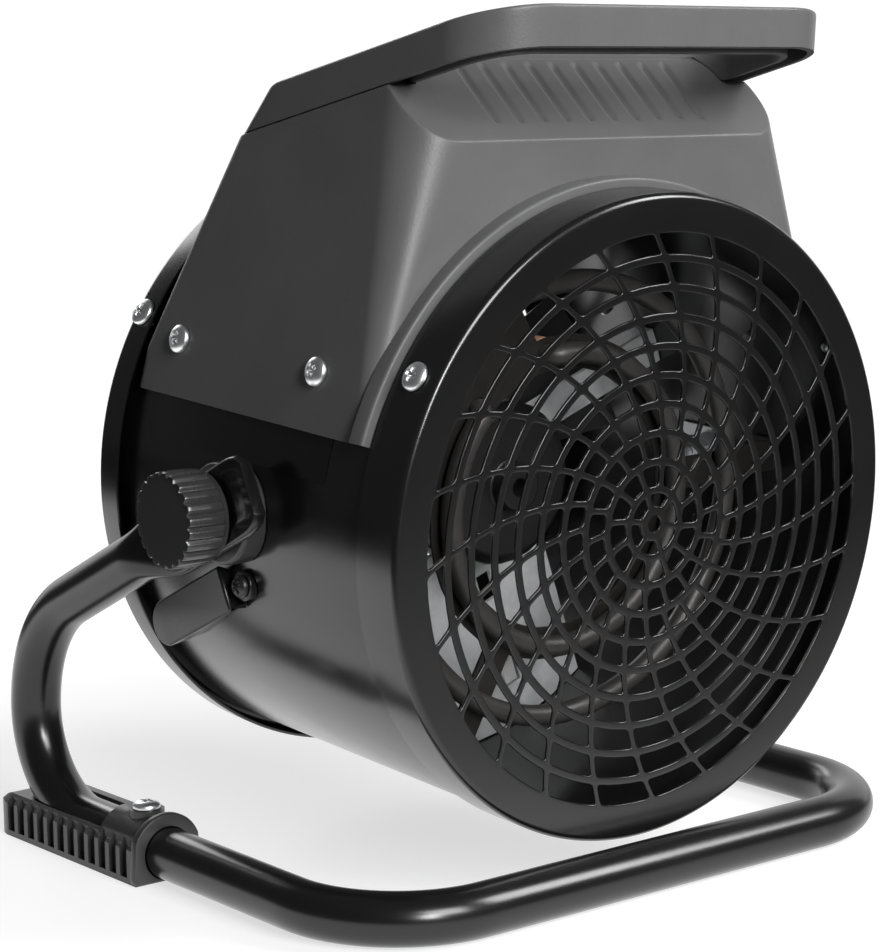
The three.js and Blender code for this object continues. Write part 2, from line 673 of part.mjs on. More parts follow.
const holeFront = HANDLE_FRONT + HANDLE_BAR;
const holeBack = HAND_HOLE_BACK;
const planOuter = handlePlan(0, HANDLE_FRONT, HANDLE_LENGTH + 20, HANDLE_ROUND, HANDLE_REAR_ROUND);
const planInner = handlePlan(
  HANDLE_WALL, HANDLE_FRONT + HANDLE_WALL, HANDLE_LENGTH - HANDLE_WALL - 6, HANDLE_ROUND - HANDLE_WALL, 3,
);
const planHole = handlePlan(HANDLE_LEG, holeFront, holeBack, HAND_HOLE_ROUND, HAND_HOLE_ROUND);
const planHoleWall = handlePlan(
  HANDLE_LEG - HANDLE_WALL, holeFront - HANDLE_WALL, holeBack + HANDLE_WALL,
  HAND_HOLE_ROUND + HANDLE_WALL, HAND_HOLE_ROUND + HANDLE_WALL,
);

// sloping deck in front of and below the hand hole
const deckZ = (depth) => DECK_EDGE_Z + DECK_SLOPE * (depth - DECK_EDGE_DEPTH);
function aboveDeck(lower) {
  const far = 200;
  return plateYZ(polygon([
    [-60, deckZ(-60) - lower], [far, deckZ(far) - lower], [far, 400], [-60, 400],
  ]), -200, 200);
}

const handleOuter = handlePrism(planOuter, 0, HANDLE_HEIGHT);
const handleHollow = handlePrism(planInner, HANDLE_PLATE, HANDLE_HEIGHT + 5);
const handHole = handlePrism(planHole, -8, HANDLE_HEIGHT + 8);
const behindDeck = box(-200, 200, holeBack - HAND_HOLE_ROUND - 6, 260, 0, 400);
const holeWall = join(
  cut(handlePrism(planHoleWall, HANDLE_PLATE / 2, HANDLE_HEIGHT), behindDeck),
  handlePrism(planHoleWall, HANDLE_PLATE / 2, HANDLE_PLATE),
);
const ribs = [];
for (let i = 0; i < HANDLE_RIBS; i += 1) {
  const x = (i - (HANDLE_RIBS - 1) / 2) * RIB_PITCH;
  const rib = box(x - HANDLE_RIB / 2, x + HANDLE_RIB / 2, HANDLE_FRONT + 1, holeFront - 1, 140, 190);
  ribs.push(common(rib, handleLayer(HANDLE_PLATE / 2, HANDLE_HEIGHT - 2)));
}
[-1, 1].forEach((side) => [0, 1].forEach((k) => {
  const y = HANDLE_ROUND + 2 + 15 * k;
  const half = HANDLE_HALF_FRONT + HANDLE_TAPER * y;
  const ends = [side * (half - HANDLE_LEG + 1), side * (half - 1)].sort((a, b) => a - b);
  ribs.push(common(box(...ends, y, y + HANDLE_RIB, 120, 190), handleLayer(HANDLE_PLATE / 2, HANDLE_HEIGHT - 2)));
}));
// the rear end face leans like the cover below it
const handleTrim = plateYZ(polygon([
  [HANDLE_END_DEPTH - HANDLE_END_LEAN * 60, HANDLE_END_Z + 60],
  [HANDLE_END_DEPTH + HANDLE_END_LEAN * 30, HANDLE_END_Z - 30],
  [260, HANDLE_END_Z - 30], [260, HANDLE_END_Z + 60],
]), -200, 200);
const handleShell = join(cut(handleOuter, handleHollow), holeWall, ...ribs);
add(casing, 'handle', cut(handleShell, handHole, handleTrim), MOULDED);

// rounded-rectangle section of the cover at height z, walls set in by "inset"
function coverSection(z, inset, cornerSteps = 4) {
  const half = coverOuterX(z) - inset;
  const share = (z - COVER_BOTTOM_Z) / (COVER_HIGH_Z - COVER_BOTTOM_Z);
  const front = THREE.MathUtils.lerp(COVER_FRONT_LOW, COVER_FRONT_HIGH, share) + inset;
  const lean = Math.max(0, z - COVER_REAR_KNEE_Z) * COVER_REAR_LEAN;
  const rear = COVER_REAR_LOW - lean - inset;
  const frontRound = Math.max(0.6, THREE.MathUtils.lerp(COVER_FRONT_ROUND_LOW, COVER_FRONT_ROUND_HIGH, share) - inset);
  const rearRound = COVER_REAR_ROUND - inset;
  const ring = [];
  const corner = (cx, cy, r, from) => {
    for (let s = 0; s <= cornerSteps; s += 1) {
      const angle = from + (s / cornerSteps) * (Math.PI / 2);
      ring.push(v3(cx + r * Math.cos(angle), cy + r * Math.sin(angle), z));
    }
  };
  corner(half - frontRound, front + frontRound, frontRound, -Math.PI / 2);
  corner(half - rearRound, rear - rearRound, rearRound, 0);
  corner(-half + rearRound, rear - rearRound, rearRound, Math.PI / 2);
  corner(-half + frontRound, front + frontRound, frontRound, Math.PI);
  return ring;
}

const coverLevels = [COVER_BOTTOM_Z, COVER_REAR_KNEE_Z, 90, 125, COVER_HIGH_Z];
const coverOuter = loft(coverLevels.map((z) => coverSection(z, 0)));
const coverInner = loft([COVER_BOTTOM_Z - 20, ...coverLevels].map((z) => coverSection(z, COVER_WALL)));

// between the legs the cover reaches up to the plate, under the legs only to the skirt's edge
const seam = handleLayer(HANDLE_HEIGHT + GAP, 400);
const seamInner = handleLayer(HANDLE_HEIGHT + GAP + COVER_WALL, 400);
const TONGUE_SIDE = HANDLE_LEG + GAP;
const tongueBack = HANDLE_LENGTH - 30;
const tonguePlan = handlePlan(TONGUE_SIDE, holeBack - 30, tongueBack, 2, 4);
const tongue = common(handlePrism(tonguePlan, HANDLE_PLATE + GAP, HANDLE_HEIGHT + 6), coverOuter);
const tongueInnerPlan = handlePlan(TONGUE_SIDE + COVER_WALL, holeBack - 50, tongueBack - COVER_WALL, 2, 2);
const tongueInner = common(
  handlePrism(tongueInnerPlan, HANDLE_PLATE + GAP + COVER_WALL, HANDLE_HEIGHT + 12),
  coverInner,
);
const coverMass = cut(join(common(coverOuter, seam), tongue), aboveDeck(0));
const coverHollow = cut(join(common(coverInner, seamInner), tongueInner), aboveDeck(COVER_WALL * 1.2));
const lipFull = turned([
  [BARREL_R + GAP, COVER_LIP_FRONT], [COVER_LIP_R - 1, COVER_LIP_FRONT], [COVER_LIP_R, COVER_LIP_FRONT + 1],
  [COVER_LIP_R, COVER_FRONT_LOW + 2], [BARREL_R + GAP, COVER_FRONT_LOW + 2],
]);
const lip = common(lipFull, box(-130, 130, 0, 60, COVER_BOTTOM_Z, 130));

// shallow grooves down the deck
const grooves = [];
for (let i = 0; i < GROOVE_COUNT; i += 1) {
  const x = GROOVE_PITCH * (i - (GROOVE_COUNT - 1) / 2);
  const lift = (depth) => deckZ(depth) + GROOVE_WIDTH / 2 - GROOVE_CUT;
  grooves.push(rod(
    v3(x, GROOVE_FRONT_DEPTH, lift(GROOVE_FRONT_DEPTH)),
    v3(x, GROOVE_BACK_DEPTH, lift(GROOVE_BACK_DEPTH)),
    GROOVE_WIDTH / 2,
    8,
  ));
}

// controls sit square on the leaning back wall
const backNormal = v3(0, 1, COVER_REAR_LEAN).normalize();
const backDepth = (z) => COVER_REAR_LOW - (z - COVER_REAR_KNEE_Z) * COVER_REAR_LEAN;
const backPoint = (x, z, out) => v3(x, backDepth(z), z).add(backNormal.clone().multiplyScalar(out));
const backHoles = [
  rod(backPoint(-DIAL_X, DIAL_Z, -8), backPoint(-DIAL_X, DIAL_Z, 6), DIAL_SHAFT_R + 0.8),
  rod(backPoint(DIAL_X, DIAL_Z, -8), backPoint(DIAL_X, DIAL_Z, 6), DIAL_SHAFT_R + 0.8),
  rod(backPoint(GLAND_X, GLAND_Z, -8), backPoint(GLAND_X, GLAND_Z, 6), GLAND_BORE_R + GLAND_WALL + GAP),
];
const coverScrewHoles = coverScrewSeats.map(({ side, origin }) => (
  screwHole(origin, coverScrewDirection(side), SCREW_LENGTH + 2)
));
const cover = cut(
  join(cut(coverMass, coverHollow), lip),
  barrelClear, ...grooves, ...backHoles, ...coverScrewHoles,
);
add(casing, 'top_cover', cover, MOULDED);

// ---------------------------------------------------------------- controls

function dial(name, x) {
  const start = backPoint(x, DIAL_Z, 1.2);
  const skirt = [
    [DIAL_SHAFT_R + GAP, 0], [DIAL_R, 0], [DIAL_R, 2.5], [DIAL_R - 1.2, 3.2],
    [DIAL_R - 2.2, DIAL_LENGTH - 1], [DIAL_R - 3.2, DIAL_LENGTH], [0, DIAL_LENGTH],
    [0, DIAL_LENGTH - 3], [DIAL_SHAFT_R + GAP, DIAL_LENGTH - 3],
  ];
  const cap = turnedAt(skirt, start, backNormal, 20);
  const gripHalf = 1.6;
  const grip = new THREE.BoxGeometry(2 * (DIAL_R - 3), 2 * gripHalf, 2.4);
  grip.translate(0, 0, DIAL_LENGTH);
  grip.applyQuaternion(new THREE.Quaternion().setFromUnitVectors(v3(0, 0, 1), backNormal));
  grip.translate(start.x, start.y, start.z);
  add(casing, `${name}_dial`, join(cap, toSolid(grip)), SOFT_BLACK);
  const shaft = rod(backPoint(x, DIAL_Z, -COVER_WALL - 4), backPoint(x, DIAL_Z, DIAL_LENGTH - 2.2), DIAL_SHAFT_R, 16);
  add(casing, `${name}_shaft`, shaft, ZINC);
  const body = turnedAt([
    [DIAL_SHAFT_R + GAP, 0], [DIAL_BODY_R, 0], [DIAL_BODY_R, DIAL_BODY_LENGTH], [0, DIAL_BODY_LENGTH],
    [0, 8], [DIAL_SHAFT_R + GAP, 8],
  ], backPoint(x, DIAL_Z, -COVER_WALL - GAP), backNormal.clone().negate(), 14);
  add(casing, `${name}_body`, body, LIGHT_PLASTIC);
}
dial('power', -DIAL_X);
dial('thermostat', DIAL_X);

const glandIn = COVER_WALL + GLAND_INNER;
const gland = turnedAt([
  [GLAND_BORE_R, -glandIn], [GLAND_BORE_R + GLAND_WALL, -glandIn], [GLAND_BORE_R + GLAND_WALL, GAP],
  [GLAND_R, GAP], [GLAND_R, 6.5], [GLAND_R - 1.5, 7.5], [GLAND_R - 2, GLAND_LENGTH - glandIn],
  [GLAND_BORE_R, GLAND_LENGTH - glandIn],
], backPoint(GLAND_X, GLAND_Z, 0), backNormal, 16);
add(casing, 'cable_gland', gland, SOFT_BLACK);

// ---------------------------------------------------------------- stand

const armRad = rad(ARM_ANGLE);
const LOWER_RISE = 1.8;                      // the feet lift the back of the rails by this much
const railZ = (back) => TUBE_R - PIVOT_HEIGHT + LOWER_RISE * (back + STAND_FRONT) / (STAND_BACK + STAND_FRONT);
function standSide(side) {
  // corner points of one side from the flattened tip to the front corner
  const x = side * STAND_HALF_WIDTH;
  return [
    [v3(x, -EYE_END * Math.cos(armRad), EYE_END * Math.sin(armRad)), 0],
    [v3(x, SHOULDER_BACK, -SHOULDER_BACK * Math.tan(armRad)), UPPER_BEND_R],
    [v3(x, STAND_BACK, railZ(STAND_BACK)), LOWER_BEND_R],
    [v3(x, -STAND_FRONT, railZ(-STAND_FRONT)), FRONT_BEND_R],
  ];
}
const FLAT_END = EYE_END + FLAT_LENGTH;
const FLAT_STATIONS = [0, 3, 10, FLAT_END, FLAT_END + 8, FLAT_END + 16, FLAT_END + FLAT_BLEND];
const TIP_ROUNDING = 10.0;
const FLAT_SHIFT = STAND_HALF_WIDTH - (SPACER_END + GAP + FLAT_THICKNESS / 2);

function standPath(overrun) {
  const corners = [...standSide(-1), ...standSide(1).reverse()];
  const bends = roundedPath(corners, 5).slice(1, -1);
  const run = (corner, next) => {
    const way = next.clone().sub(corner).normalize();
    return FLAT_STATIONS.map((d) => corner.clone().add(way.clone().multiplyScalar(d || -overrun)));
  };
  const first = run(corners[0][0], corners[1][0]);
  const last = run(corners[7][0], corners[6][0]);
  return [...first, ...bends, ...last.reverse()];
}

function standSection(sides, roundRadius, flatHalfWidth, flatThickness, total, overrun) {
  const circle = roundSection(1, sides);
  return (walked) => {
    const fromEnd = Math.min(walked, total - walked) - overrun;
    const flat = 1 - THREE.MathUtils.smoothstep(fromEnd, FLAT_END, FLAT_END + FLAT_BLEND);
    const near = 1 - THREE.MathUtils.clamp(fromEnd / TIP_ROUNDING, 0, 1);
    const width = flatHalfWidth * (0.7 + 0.3 * Math.sqrt(1 - near * near));
    return circle.map(([u, v]) => [
      THREE.MathUtils.lerp(roundRadius * u, (flatThickness / 2) * THREE.MathUtils.clamp(1.7 * u, -1, 1), flat)
        + FLAT_SHIFT * flat,
      THREE.MathUtils.lerp(roundRadius * v, width * v, flat),
    ]);
  };
}

const pathLength = (path) => path.slice(1).reduce((sum, point, i) => sum + point.distanceTo(path[i]), 0);
const outerPath = standPath(0);
const borePath = standPath(3);
const standOuter = swept(
  outerPath, v3(1, 0, 0),
  standSection(12, TUBE_R, FLAT_HALF_WIDTH, FLAT_THICKNESS, pathLength(outerPath), 0),
);
const standBore = swept(
  borePath, v3(1, 0, 0),
  standSection(6, TUBE_R - TUBE_WALL, FLAT_HALF_WIDTH - 2.4, FLAT_SLIT, pathLength(borePath), 3),
);
const footScrewBack = FOOT_REAR - FOOT_LENGTH + FOOT_SCREW_FROM_FRONT;
const standHoles = [-1, 1].flatMap((side) => [
  rod(v3(side * 115, 0, 0), v3(side * 135, 0, 0), STUD_R + GAP),
  screwHole(v3(side * STAND_HALF_WIDTH, footScrewBack, FOOT_BOSS_TOP - PIVOT_HEIGHT), v3(0, 0, -1), SCREW_LENGTH),
]);
add(frame, 'stand_tube', cut(standOuter, standBore, ...standHoles), STAND_PAINT);

function footPlan(x, front, rear, half, round) {
  const points = [[x + half, front], [x + half, rear - round]];
  for (let step = 1; step <= 3; step += 1) {
    const angle = rad(30 * step);
    points.push([x + half - round + round * Math.cos(angle), rear - round + round * Math.sin(angle)]);
  }
  for (let step = 0; step <= 3; step += 1) {
    const angle = rad(90 + 30 * step);
    points.push([x - half + round + round * Math.cos(angle), rear - round + round * Math.sin(angle)]);
  }
  return polygon([...points, [x - half, front]]);
}

[-1, 1].forEach((side) => {
  const name = side < 0 ? 'left' : 'right';
  const x = side * STAND_HALF_WIDTH;
  const floor = -PIVOT_HEIGHT;
  const front = FOOT_REAR - FOOT_LENGTH;
  const collarEnd = front + FOOT_COLLAR_LENGTH;
  const block = plateXY(footPlan(x, front, FOOT_REAR, FOOT_SIDE, 7), floor, floor + FOOT_HEIGHT);
  const collarR = TUBE_R + GAP + FOOT_COLLAR_WALL;
  const collar = rod(v3(x, front, railZ(front)), v3(x, collarEnd, railZ(collarEnd)), collarR, 20);
  const boss = rod(v3(x, footScrewBack, railZ(0)), v3(x, footScrewBack, floor + FOOT_BOSS_TOP), FOOT_BOSS_R, 16);
  const innerWallX = [x - side * FOOT_SIDE, x - side * (TUBE_R + GAP)].sort((a, b) => a - b);
  const wall = plateYZ(polygon([
    [collarEnd - 6, floor + 8], [FOOT_REAR - 4, floor + 8], [FOOT_REAR - 2, floor + FOOT_HEIGHT - 1],
    [FOOT_REAR - 12, floor + FOOT_WALL_TOP], [collarEnd + 4, floor + FOOT_WALL_TOP],
  ]), ...innerWallX);
  const pockets = Array.from({ length: FOOT_POCKETS }, (_, i) => {
    const middle = front + 8 + FOOT_POCKET_PITCH * i;
    const faces = [x + side * (FOOT_SIDE - FOOT_POCKET_DEPTH), x + side * (FOOT_SIDE + 2)].sort((a, b) => a - b);
    return box(
      ...faces, middle - FOOT_POCKET_WIDTH / 2, middle + FOOT_POCKET_WIDTH / 2,
      floor + 2.2, floor + FOOT_HEIGHT + 2,
    );
  });
  const outerX = x + side * FOOT_SIDE;
  const chamfer = plateXZ(polygon([
    [outerX - side * FOOT_CHAMFER, floor + FOOT_HEIGHT + 0.01], [outerX + side * 2, floor + FOOT_HEIGHT + 0.01],
    [outerX + side * 2, floor + FOOT_HEIGHT - FOOT_CHAMFER], [outerX, floor + FOOT_HEIGHT - FOOT_CHAMFER],
  ]), front - 5, FOOT_REAR + 5);
  const along = roundedPath(standSide(side), 8).slice(1);
  const tubeSpace = swept(along, v3(1, 0, 0), () => roundSection(TUBE_R + 2 * GAP, 16));
  const opening = polygon([
    ...along.filter((p) => p.y > collarEnd).map((p) => [p.y, p.z]),
    [collarEnd, railZ(collarEnd)], [collarEnd, floor + 60], [STAND_BACK - 20, floor + 60],
  ]);
  const slot = plateYZ(opening, x - TUBE_R - 2 * GAP, x + TUBE_R + 2 * GAP);
  const seat = v3(x, footScrewBack, floor + FOOT_BOSS_TOP);
  const belowFloor = box(x - 30, x + 30, front - 10, FOOT_REAR + 10, floor - 20, floor);
  const foot = cut(
    join(cut(block, chamfer), collar, boss, wall),
    ...pockets, tubeSpace, slot, belowFloor, screwHole(seat, v3(0, 0, -1)),
  );
  add(frame, `foot_${name}`, foot, SOFT_BLACK);
  add(frame, `foot_screw_${name}`, screw(seat.clone().setZ(seat.z + GAP), v3(0, 0, -1)), ZINC);
});

// ---------------------------------------------------------------- pivot hardware

[-1, 1].forEach((side) => {
  const name = side < 0 ? 'left' : 'right';
  const out = v3(side, 0, 0);
  const onAxis = (x) => v3(side * x, 0, 0);

  const flute = (radius, depth) => Array.from({ length: 2 * KNOB_FLUTES }, (_, i) => {
    const angle = (2 * Math.PI * i) / (2 * KNOB_FLUTES);
    const r = radius - (i % 2 === 0 ? depth : 0);
    return [r * Math.cos(angle), r * Math.sin(angle)];
  });
  const ringAt = (x, radius, depth) => flute(radius, depth).map(([y, z]) => v3(side * x, y, z));
  const knobEnd = KNOB_START + KNOB_LENGTH;
  const knobSolid = loft([
    ringAt(KNOB_START, KNOB_BASE_R, 0), ringAt(KNOB_START + 1.6, KNOB_BASE_R, 0),
    ringAt(KNOB_START + 2.2, KNOB_R, KNOB_FLUTE_DEPTH), ringAt(knobEnd - 1.2, KNOB_R, KNOB_FLUTE_DEPTH),
    ringAt(knobEnd, KNOB_R - 1.2, 0),
  ]);
  const bore = rod(onAxis(KNOB_START - 2), onAxis(KNOB_START + KNOB_BORE_DEPTH), STUD_R + GAP);
  add(body, `clamp_knob_${name}`, cut(knobSolid, bore), SOFT_BLACK);

  add(body, `pivot_stud_${name}`, rod(onAxis(STUD_START), onAxis(STUD_END), STUD_R), ZINC);

  const wallInside = Math.sqrt(barrelInner ** 2 - (NUT_FLANGE / 2) ** 2) - GAP;
  const flangeX = [side * (wallInside - NUT_FLANGE_THICKNESS), side * wallInside].sort((a, b) => a - b);
  const half = NUT_FLANGE / 2;
  const flange = box(...flangeX, -half, half, -half, half);
  const hex = rod(
    onAxis(wallInside - NUT_FLANGE_THICKNESS - NUT_LENGTH), onAxis(wallInside - NUT_FLANGE_THICKNESS / 2), NUT_R, 6,
  );
  const nutBore = rod(onAxis(STUD_START - 9), onAxis(STUD_END), STUD_R + GAP);
  add(body, `weld_nut_${name}`, cut(join(flange, hex), nutBore), ZINC);

  const spacer = turnedAt([
    [STUD_R + GAP, BARREL_R - SPACER_ROOT], [SPACER_R, BARREL_R - SPACER_ROOT], [SPACER_R, SPACER_END - 0.8],
    [SPACER_R - 0.8, SPACER_END], [STUD_R + GAP, SPACER_END],
  ], v3(0, PIVOT_DEPTH, 0), out, 28);
  add(casing, `spacer_${name}`, cut(spacer, barrelClear), SOFT_BLACK);

  // strap beside the arm: a thick bar on the barrel with a thin screwed ear at its front
  const bar = [];
  const halfWidth = STRAP_WIDTH / 2;
  const middle = -STRAP_TOP - halfWidth;
  const outline = [[-STRAP_START, middle + halfWidth], [-STRAP_START, middle - halfWidth]];
  for (let s = 0; s <= 8; s += 1) {
    const angle = -Math.PI / 2 - (s / 8) * Math.PI;
    bar.push([-STRAP_END + halfWidth + halfWidth * Math.cos(angle), middle + halfWidth * Math.sin(angle)]);
  }
  const inCasing = (points) => polygon(points.map(([along, above]) => {
    const p = armPoint(along, above, 0);
    return [p.y, p.z];
  }));
  const barX = [side * 96, side * STRAP_FACE].sort((a, b) => a - b);
  const earX = [side * 96, side * STRAP_EAR_FACE].sort((a, b) => a - b);
  const ear = inCasing([
    [-STRAP_START - 4, middle + halfWidth], [-STRAP_START - 4, middle - halfWidth],
    [-STRAP_EAR_START - 3, middle - halfWidth], [-STRAP_EAR_START, middle - halfWidth + 4],
    [-STRAP_EAR_START, middle + halfWidth - 6], [-STRAP_EAR_START - 3, middle + halfWidth - 2],
  ]);
  const screwSeat = armPoint(-STRAP_SCREW_ALONG, -STRAP_SCREW_BELOW, side * STRAP_EAR_FACE);
  const strap = cut(
    join(plateYZ(inCasing([...outline, ...bar]), ...barX), plateYZ(ear, ...earX)),
    barrelClear,
    rod(v3(0, PIVOT_DEPTH, 0), v3(side * 200, PIVOT_DEPTH, 0), SPACER_R + 2 * GAP, 28),
    screwHole(screwSeat, out.clone().negate()),
  );
  add(casing, `side_strap_${name}`, strap, SOFT_BLACK);
  const strapScrew = screw(screwSeat.clone().add(out.clone().multiplyScalar(GAP)), out.clone().negate());
  add(casing, `strap_screw_${name}`, strapScrew, BLACK_STEEL);
});

// ---------------------------------------------------------------- motor and fan

const axisPoint = (depth) => v3(0, depth, 0);
const MOTOR_REAR = MOTOR_FRONT + MOTOR_LENGTH;
const motor = turned([
  [SHAFT_R + GAP, MOTOR_FRONT - 6], [9, MOTOR_FRONT - 6], [9, MOTOR_FRONT], [MOTOR_R - 4, MOTOR_FRONT],
  [MOTOR_R, MOTOR_FRONT + 4], [MOTOR_R, MOTOR_REAR - 4], [MOTOR_R - 4, MOTOR_REAR],
  [SHAFT_R + GAP, MOTOR_REAR],
], 28);

const SPIDER_FRONT = MOTOR_REAR - 10;
const motorSpace = rod(axisPoint(50), axisPoint(200), MOTOR_R + GAP, 28);
const spiderArms = [];
const insideWall = BARREL_R - BARREL_WALL - GAP;
const wallRing = turned([
  [insideWall - SPIDER_THICKNESS, SPIDER_FRONT], [insideWall, SPIDER_FRONT],
  [insideWall, SPIDER_FRONT + SPIDER_TAB], [insideWall - SPIDER_THICKNESS, SPIDER_FRONT + SPIDER_TAB],
]);
function radialBar(angle, width, r0, r1, y0, y1) {
  const c = Math.cos(rad(angle));
  const s = Math.sin(rad(angle));
  const corner = (r, w) => [r * c - w * s, r * s + w * c];
  const half = width / 2;
  return plateXZ(polygon([corner(r0, -half), corner(r1, -half), corner(r1, half), corner(r0, half)]), y0, y1);
}
for (let i = 0; i < SPIDER_ARMS; i += 1) {
  const angle = SPIDER_WIDE_ANGLE + (360 / SPIDER_ARMS) * i;
  const width = i === 0 ? SPIDER_WIDE_ARM : SPIDER_ARM;
  const arm = common(
    radialBar(angle, width, MOTOR_R - 4, 130, SPIDER_FRONT, SPIDER_FRONT + SPIDER_THICKNESS),
    rod(axisPoint(50), axisPoint(200), insideWall, BARREL_SIDES),
  );
  const tab = common(wallRing, radialBar(angle, width, 60, 130, SPIDER_FRONT, SPIDER_FRONT + SPIDER_TAB));
  spiderArms.push(arm, tab);
}
const collar = turned([
  [MOTOR_R + GAP, SPIDER_FRONT - 6], [MOTOR_R + GAP + SPIDER_THICKNESS, SPIDER_FRONT - 6],
  [MOTOR_R + GAP + SPIDER_THICKNESS, SPIDER_FRONT + SPIDER_THICKNESS],
  [MOTOR_R + GAP, SPIDER_FRONT + SPIDER_THICKNESS],
], 28);
const spiderSlots = [0, 1, 2].map((k) => radialBar(
  SPIDER_WIDE_ANGLE, 7, MOTOR_R + 15 + 19 * k, MOTOR_R + 27 + 19 * k, SPIDER_FRONT - 5, SPIDER_FRONT + 8,
));
const spider = cut(join(collar, ...spiderArms), motorSpace, ...spiderSlots);
add(casing, 'motor', motor, BLACK_STEEL);
add(casing, 'motor_bracket', spider, GALVANISED);

const FAN_REAR = FAN_DEPTH + FAN_HUB_LENGTH;
const hub = turned([
  [SHAFT_R + GAP, FAN_DEPTH + 2], [7, FAN_DEPTH + 2], [7, FAN_REAR - 3], [FAN_HUB_R - 2, FAN_REAR - 3],
  [FAN_HUB_R - 2, FAN_DEPTH], [FAN_HUB_R, FAN_DEPTH], [FAN_HUB_R, FAN_REAR - 2], [FAN_HUB_R - 2, FAN_REAR],
  [SHAFT_R + GAP, FAN_REAR],
], 28);
function blade(turn) {
  // four sections from root to tip; each is a thin bar across the axis, pitched less towards the tip
  const rings = [0, 1, 2, 3].map((k) => {
    const r = THREE.MathUtils.lerp(FAN_HUB_R - 1, FAN_R, k / 3);
    const pitch = rad(FAN_BLADE_PITCH - 4 * k);
    const chord = 30 + 11 * k;
    const y0 = (FAN_DEPTH + FAN_REAR) / 2;
    const bow = r * r / (chord * chord) > 50 ? 0 : 0.04 * chord;
    const across = [[-0.5, 0], [0, bow], [0.5, 0]];
    const front = across.map(([c, b]) => [c * chord, b]);
    const back = [...front].reverse().map(([c, b]) => [c, b + FAN_BLADE_THICKNESS]);
    return [...front, ...back].map(([c, b]) => {
      const tangential = c * Math.cos(pitch) - b * Math.sin(pitch);
      const axial = c * Math.sin(pitch) + b * Math.cos(pitch);
      const angle = rad(turn) + tangential / r;
      return v3(r * Math.cos(angle), y0 + axial, r * Math.sin(angle));
    });
  });
  return loft(rings);
}
const blades = Array.from({ length: FAN_BLADES }, (_, i) => blade(20 + (360 / FAN_BLADES) * i));
const hubClear = turned([
  [0, FAN_DEPTH - 20], [FAN_HUB_R - 2, FAN_DEPTH - 20], [FAN_HUB_R - 2, FAN_REAR - 3], [0, FAN_REAR - 3],
], 28);
const bladeSet = blades.map((solid) => cut(solid, hubClear));
add(casing, 'fan', join(hub, ...bladeSet), FAN_ALLOY);
add(casing, 'fan_shaft', rod(axisPoint(MOTOR_FRONT + 6), axisPoint(FAN_REAR + 4), SHAFT_R, 12), ZINC);

// ---------------------------------------------------------------- heating elements

function loopEnds(sweep) {
  return [LOOP_START, LOOP_START + sweep];
}

function elementPath(radius, depth, sweep) {
  const bend = 5;
  const lead = THREE.MathUtils.radToDeg(bend / radius);
  const [from, to] = loopEnds(sweep);
  const tailDepth = HOLDER_DEPTH + ELEMENT_TAIL;
  const path = [radialPoint(radius, from, tailDepth)];
  const steps = Math.round(sweep / 12);
  for (let s = 0; s <= 4; s += 1) {
    const a = (s / 4) * (Math.PI / 2);
    path.push(radialPoint(radius, from + lead * (1 - Math.cos(a)), depth + bend * (1 - Math.sin(a))));
  }
  for (let s = 1; s < steps; s += 1) {
    path.push(radialPoint(radius, THREE.MathUtils.lerp(from + lead, to - lead, s / steps), depth));
  }
  for (let s = 4; s >= 0; s -= 1) {
    const a = (s / 4) * (Math.PI / 2);
    path.push(radialPoint(radius, to - lead * (1 - Math.cos(a)), depth + bend * (1 - Math.sin(a))));
  }
  path.push(radialPoint(radius, to, tailDepth));
  return path;
}

const elements = [
  ['outer', OUTER_LOOP_R, OUTER_LOOP_DEPTH, OUTER_LOOP_SWEEP],
  ['inner', INNER_LOOP_R, INNER_LOOP_DEPTH, INNER_LOOP_SWEEP],
];
const tails = [];
elements.forEach(([name, radius, depth, sweep]) => {
  const start = radialPoint(1, LOOP_START, 0);
  const solid = swept(elementPath(radius, depth, sweep), start, () => roundSection(ELEMENT_R, 8));
  add(casing, `element_${name}`, solid, ELEMENT_STEEL);
  loopEnds(sweep).forEach((angle) => tails.push(radialPoint(radius, angle, 0)));
});

// carrier behind the loops: a ring, three arms to the barrel and a plate for the element ends
const CARRIER_FRONT = INNER_LOOP_DEPTH + ELEMENT_R + GAP;
const CARRIER_BACK = CARRIER_FRONT + HOLDER_THICKNESS;
const carrierArms = [];
const carrierTabRing = turned([
  [insideWall - HOLDER_THICKNESS, CARRIER_FRONT], [insideWall, CARRIER_FRONT],
  [insideWall, CARRIER_FRONT + BAND_WIDTH], [insideWall - HOLDER_THICKNESS, CARRIER_FRONT + BAND_WIDTH],
]);
[123, 243, 3].forEach((angle, i) => {
  const width = i === 0 ? HOLDER_WIDTH : BAND_WIDTH;
  const inner = INNER_LOOP_R - 6;
  carrierArms.push(common(
    radialBar(angle, width, inner, 130, CARRIER_FRONT, CARRIER_BACK),
    rod(axisPoint(20), axisPoint(200), insideWall, BARREL_SIDES),
  ));
  carrierArms.push(common(
    carrierTabRing,
    radialBar(angle, width, 60, 130, CARRIER_FRONT, CARRIER_FRONT + BAND_WIDTH),
  ));
});
const carrierRing = turned([
  [INNER_LOOP_R - 6, CARRIER_FRONT], [INNER_LOOP_R + 6, CARRIER_FRONT],
  [INNER_LOOP_R + 6, CARRIER_BACK], [INNER_LOOP_R - 6, CARRIER_BACK],
], 40);
const tailHoles = tails.map((p) => rod(p.clone().setY(20), p.clone().setY(90), ELEMENT_R + GAP, 12));
add(casing, 'element_carrier', cut(join(carrierRing, ...carrierArms), ...tailHoles), GALVANISED);

tails.forEach((p, i) => {
  const bush = turnedAt([
    [ELEMENT_R + GAP, 0], [BUSH_R, 0], [BUSH_R, BUSH_LENGTH], [ELEMENT_R + GAP, BUSH_LENGTH],
  ], p.clone().setY(CARRIER_BACK + GAP), v3(0, 1, 0), 12);
  add(casing, `element_bush_${i + 1}`, bush, CERAMIC);
});

export default heater;
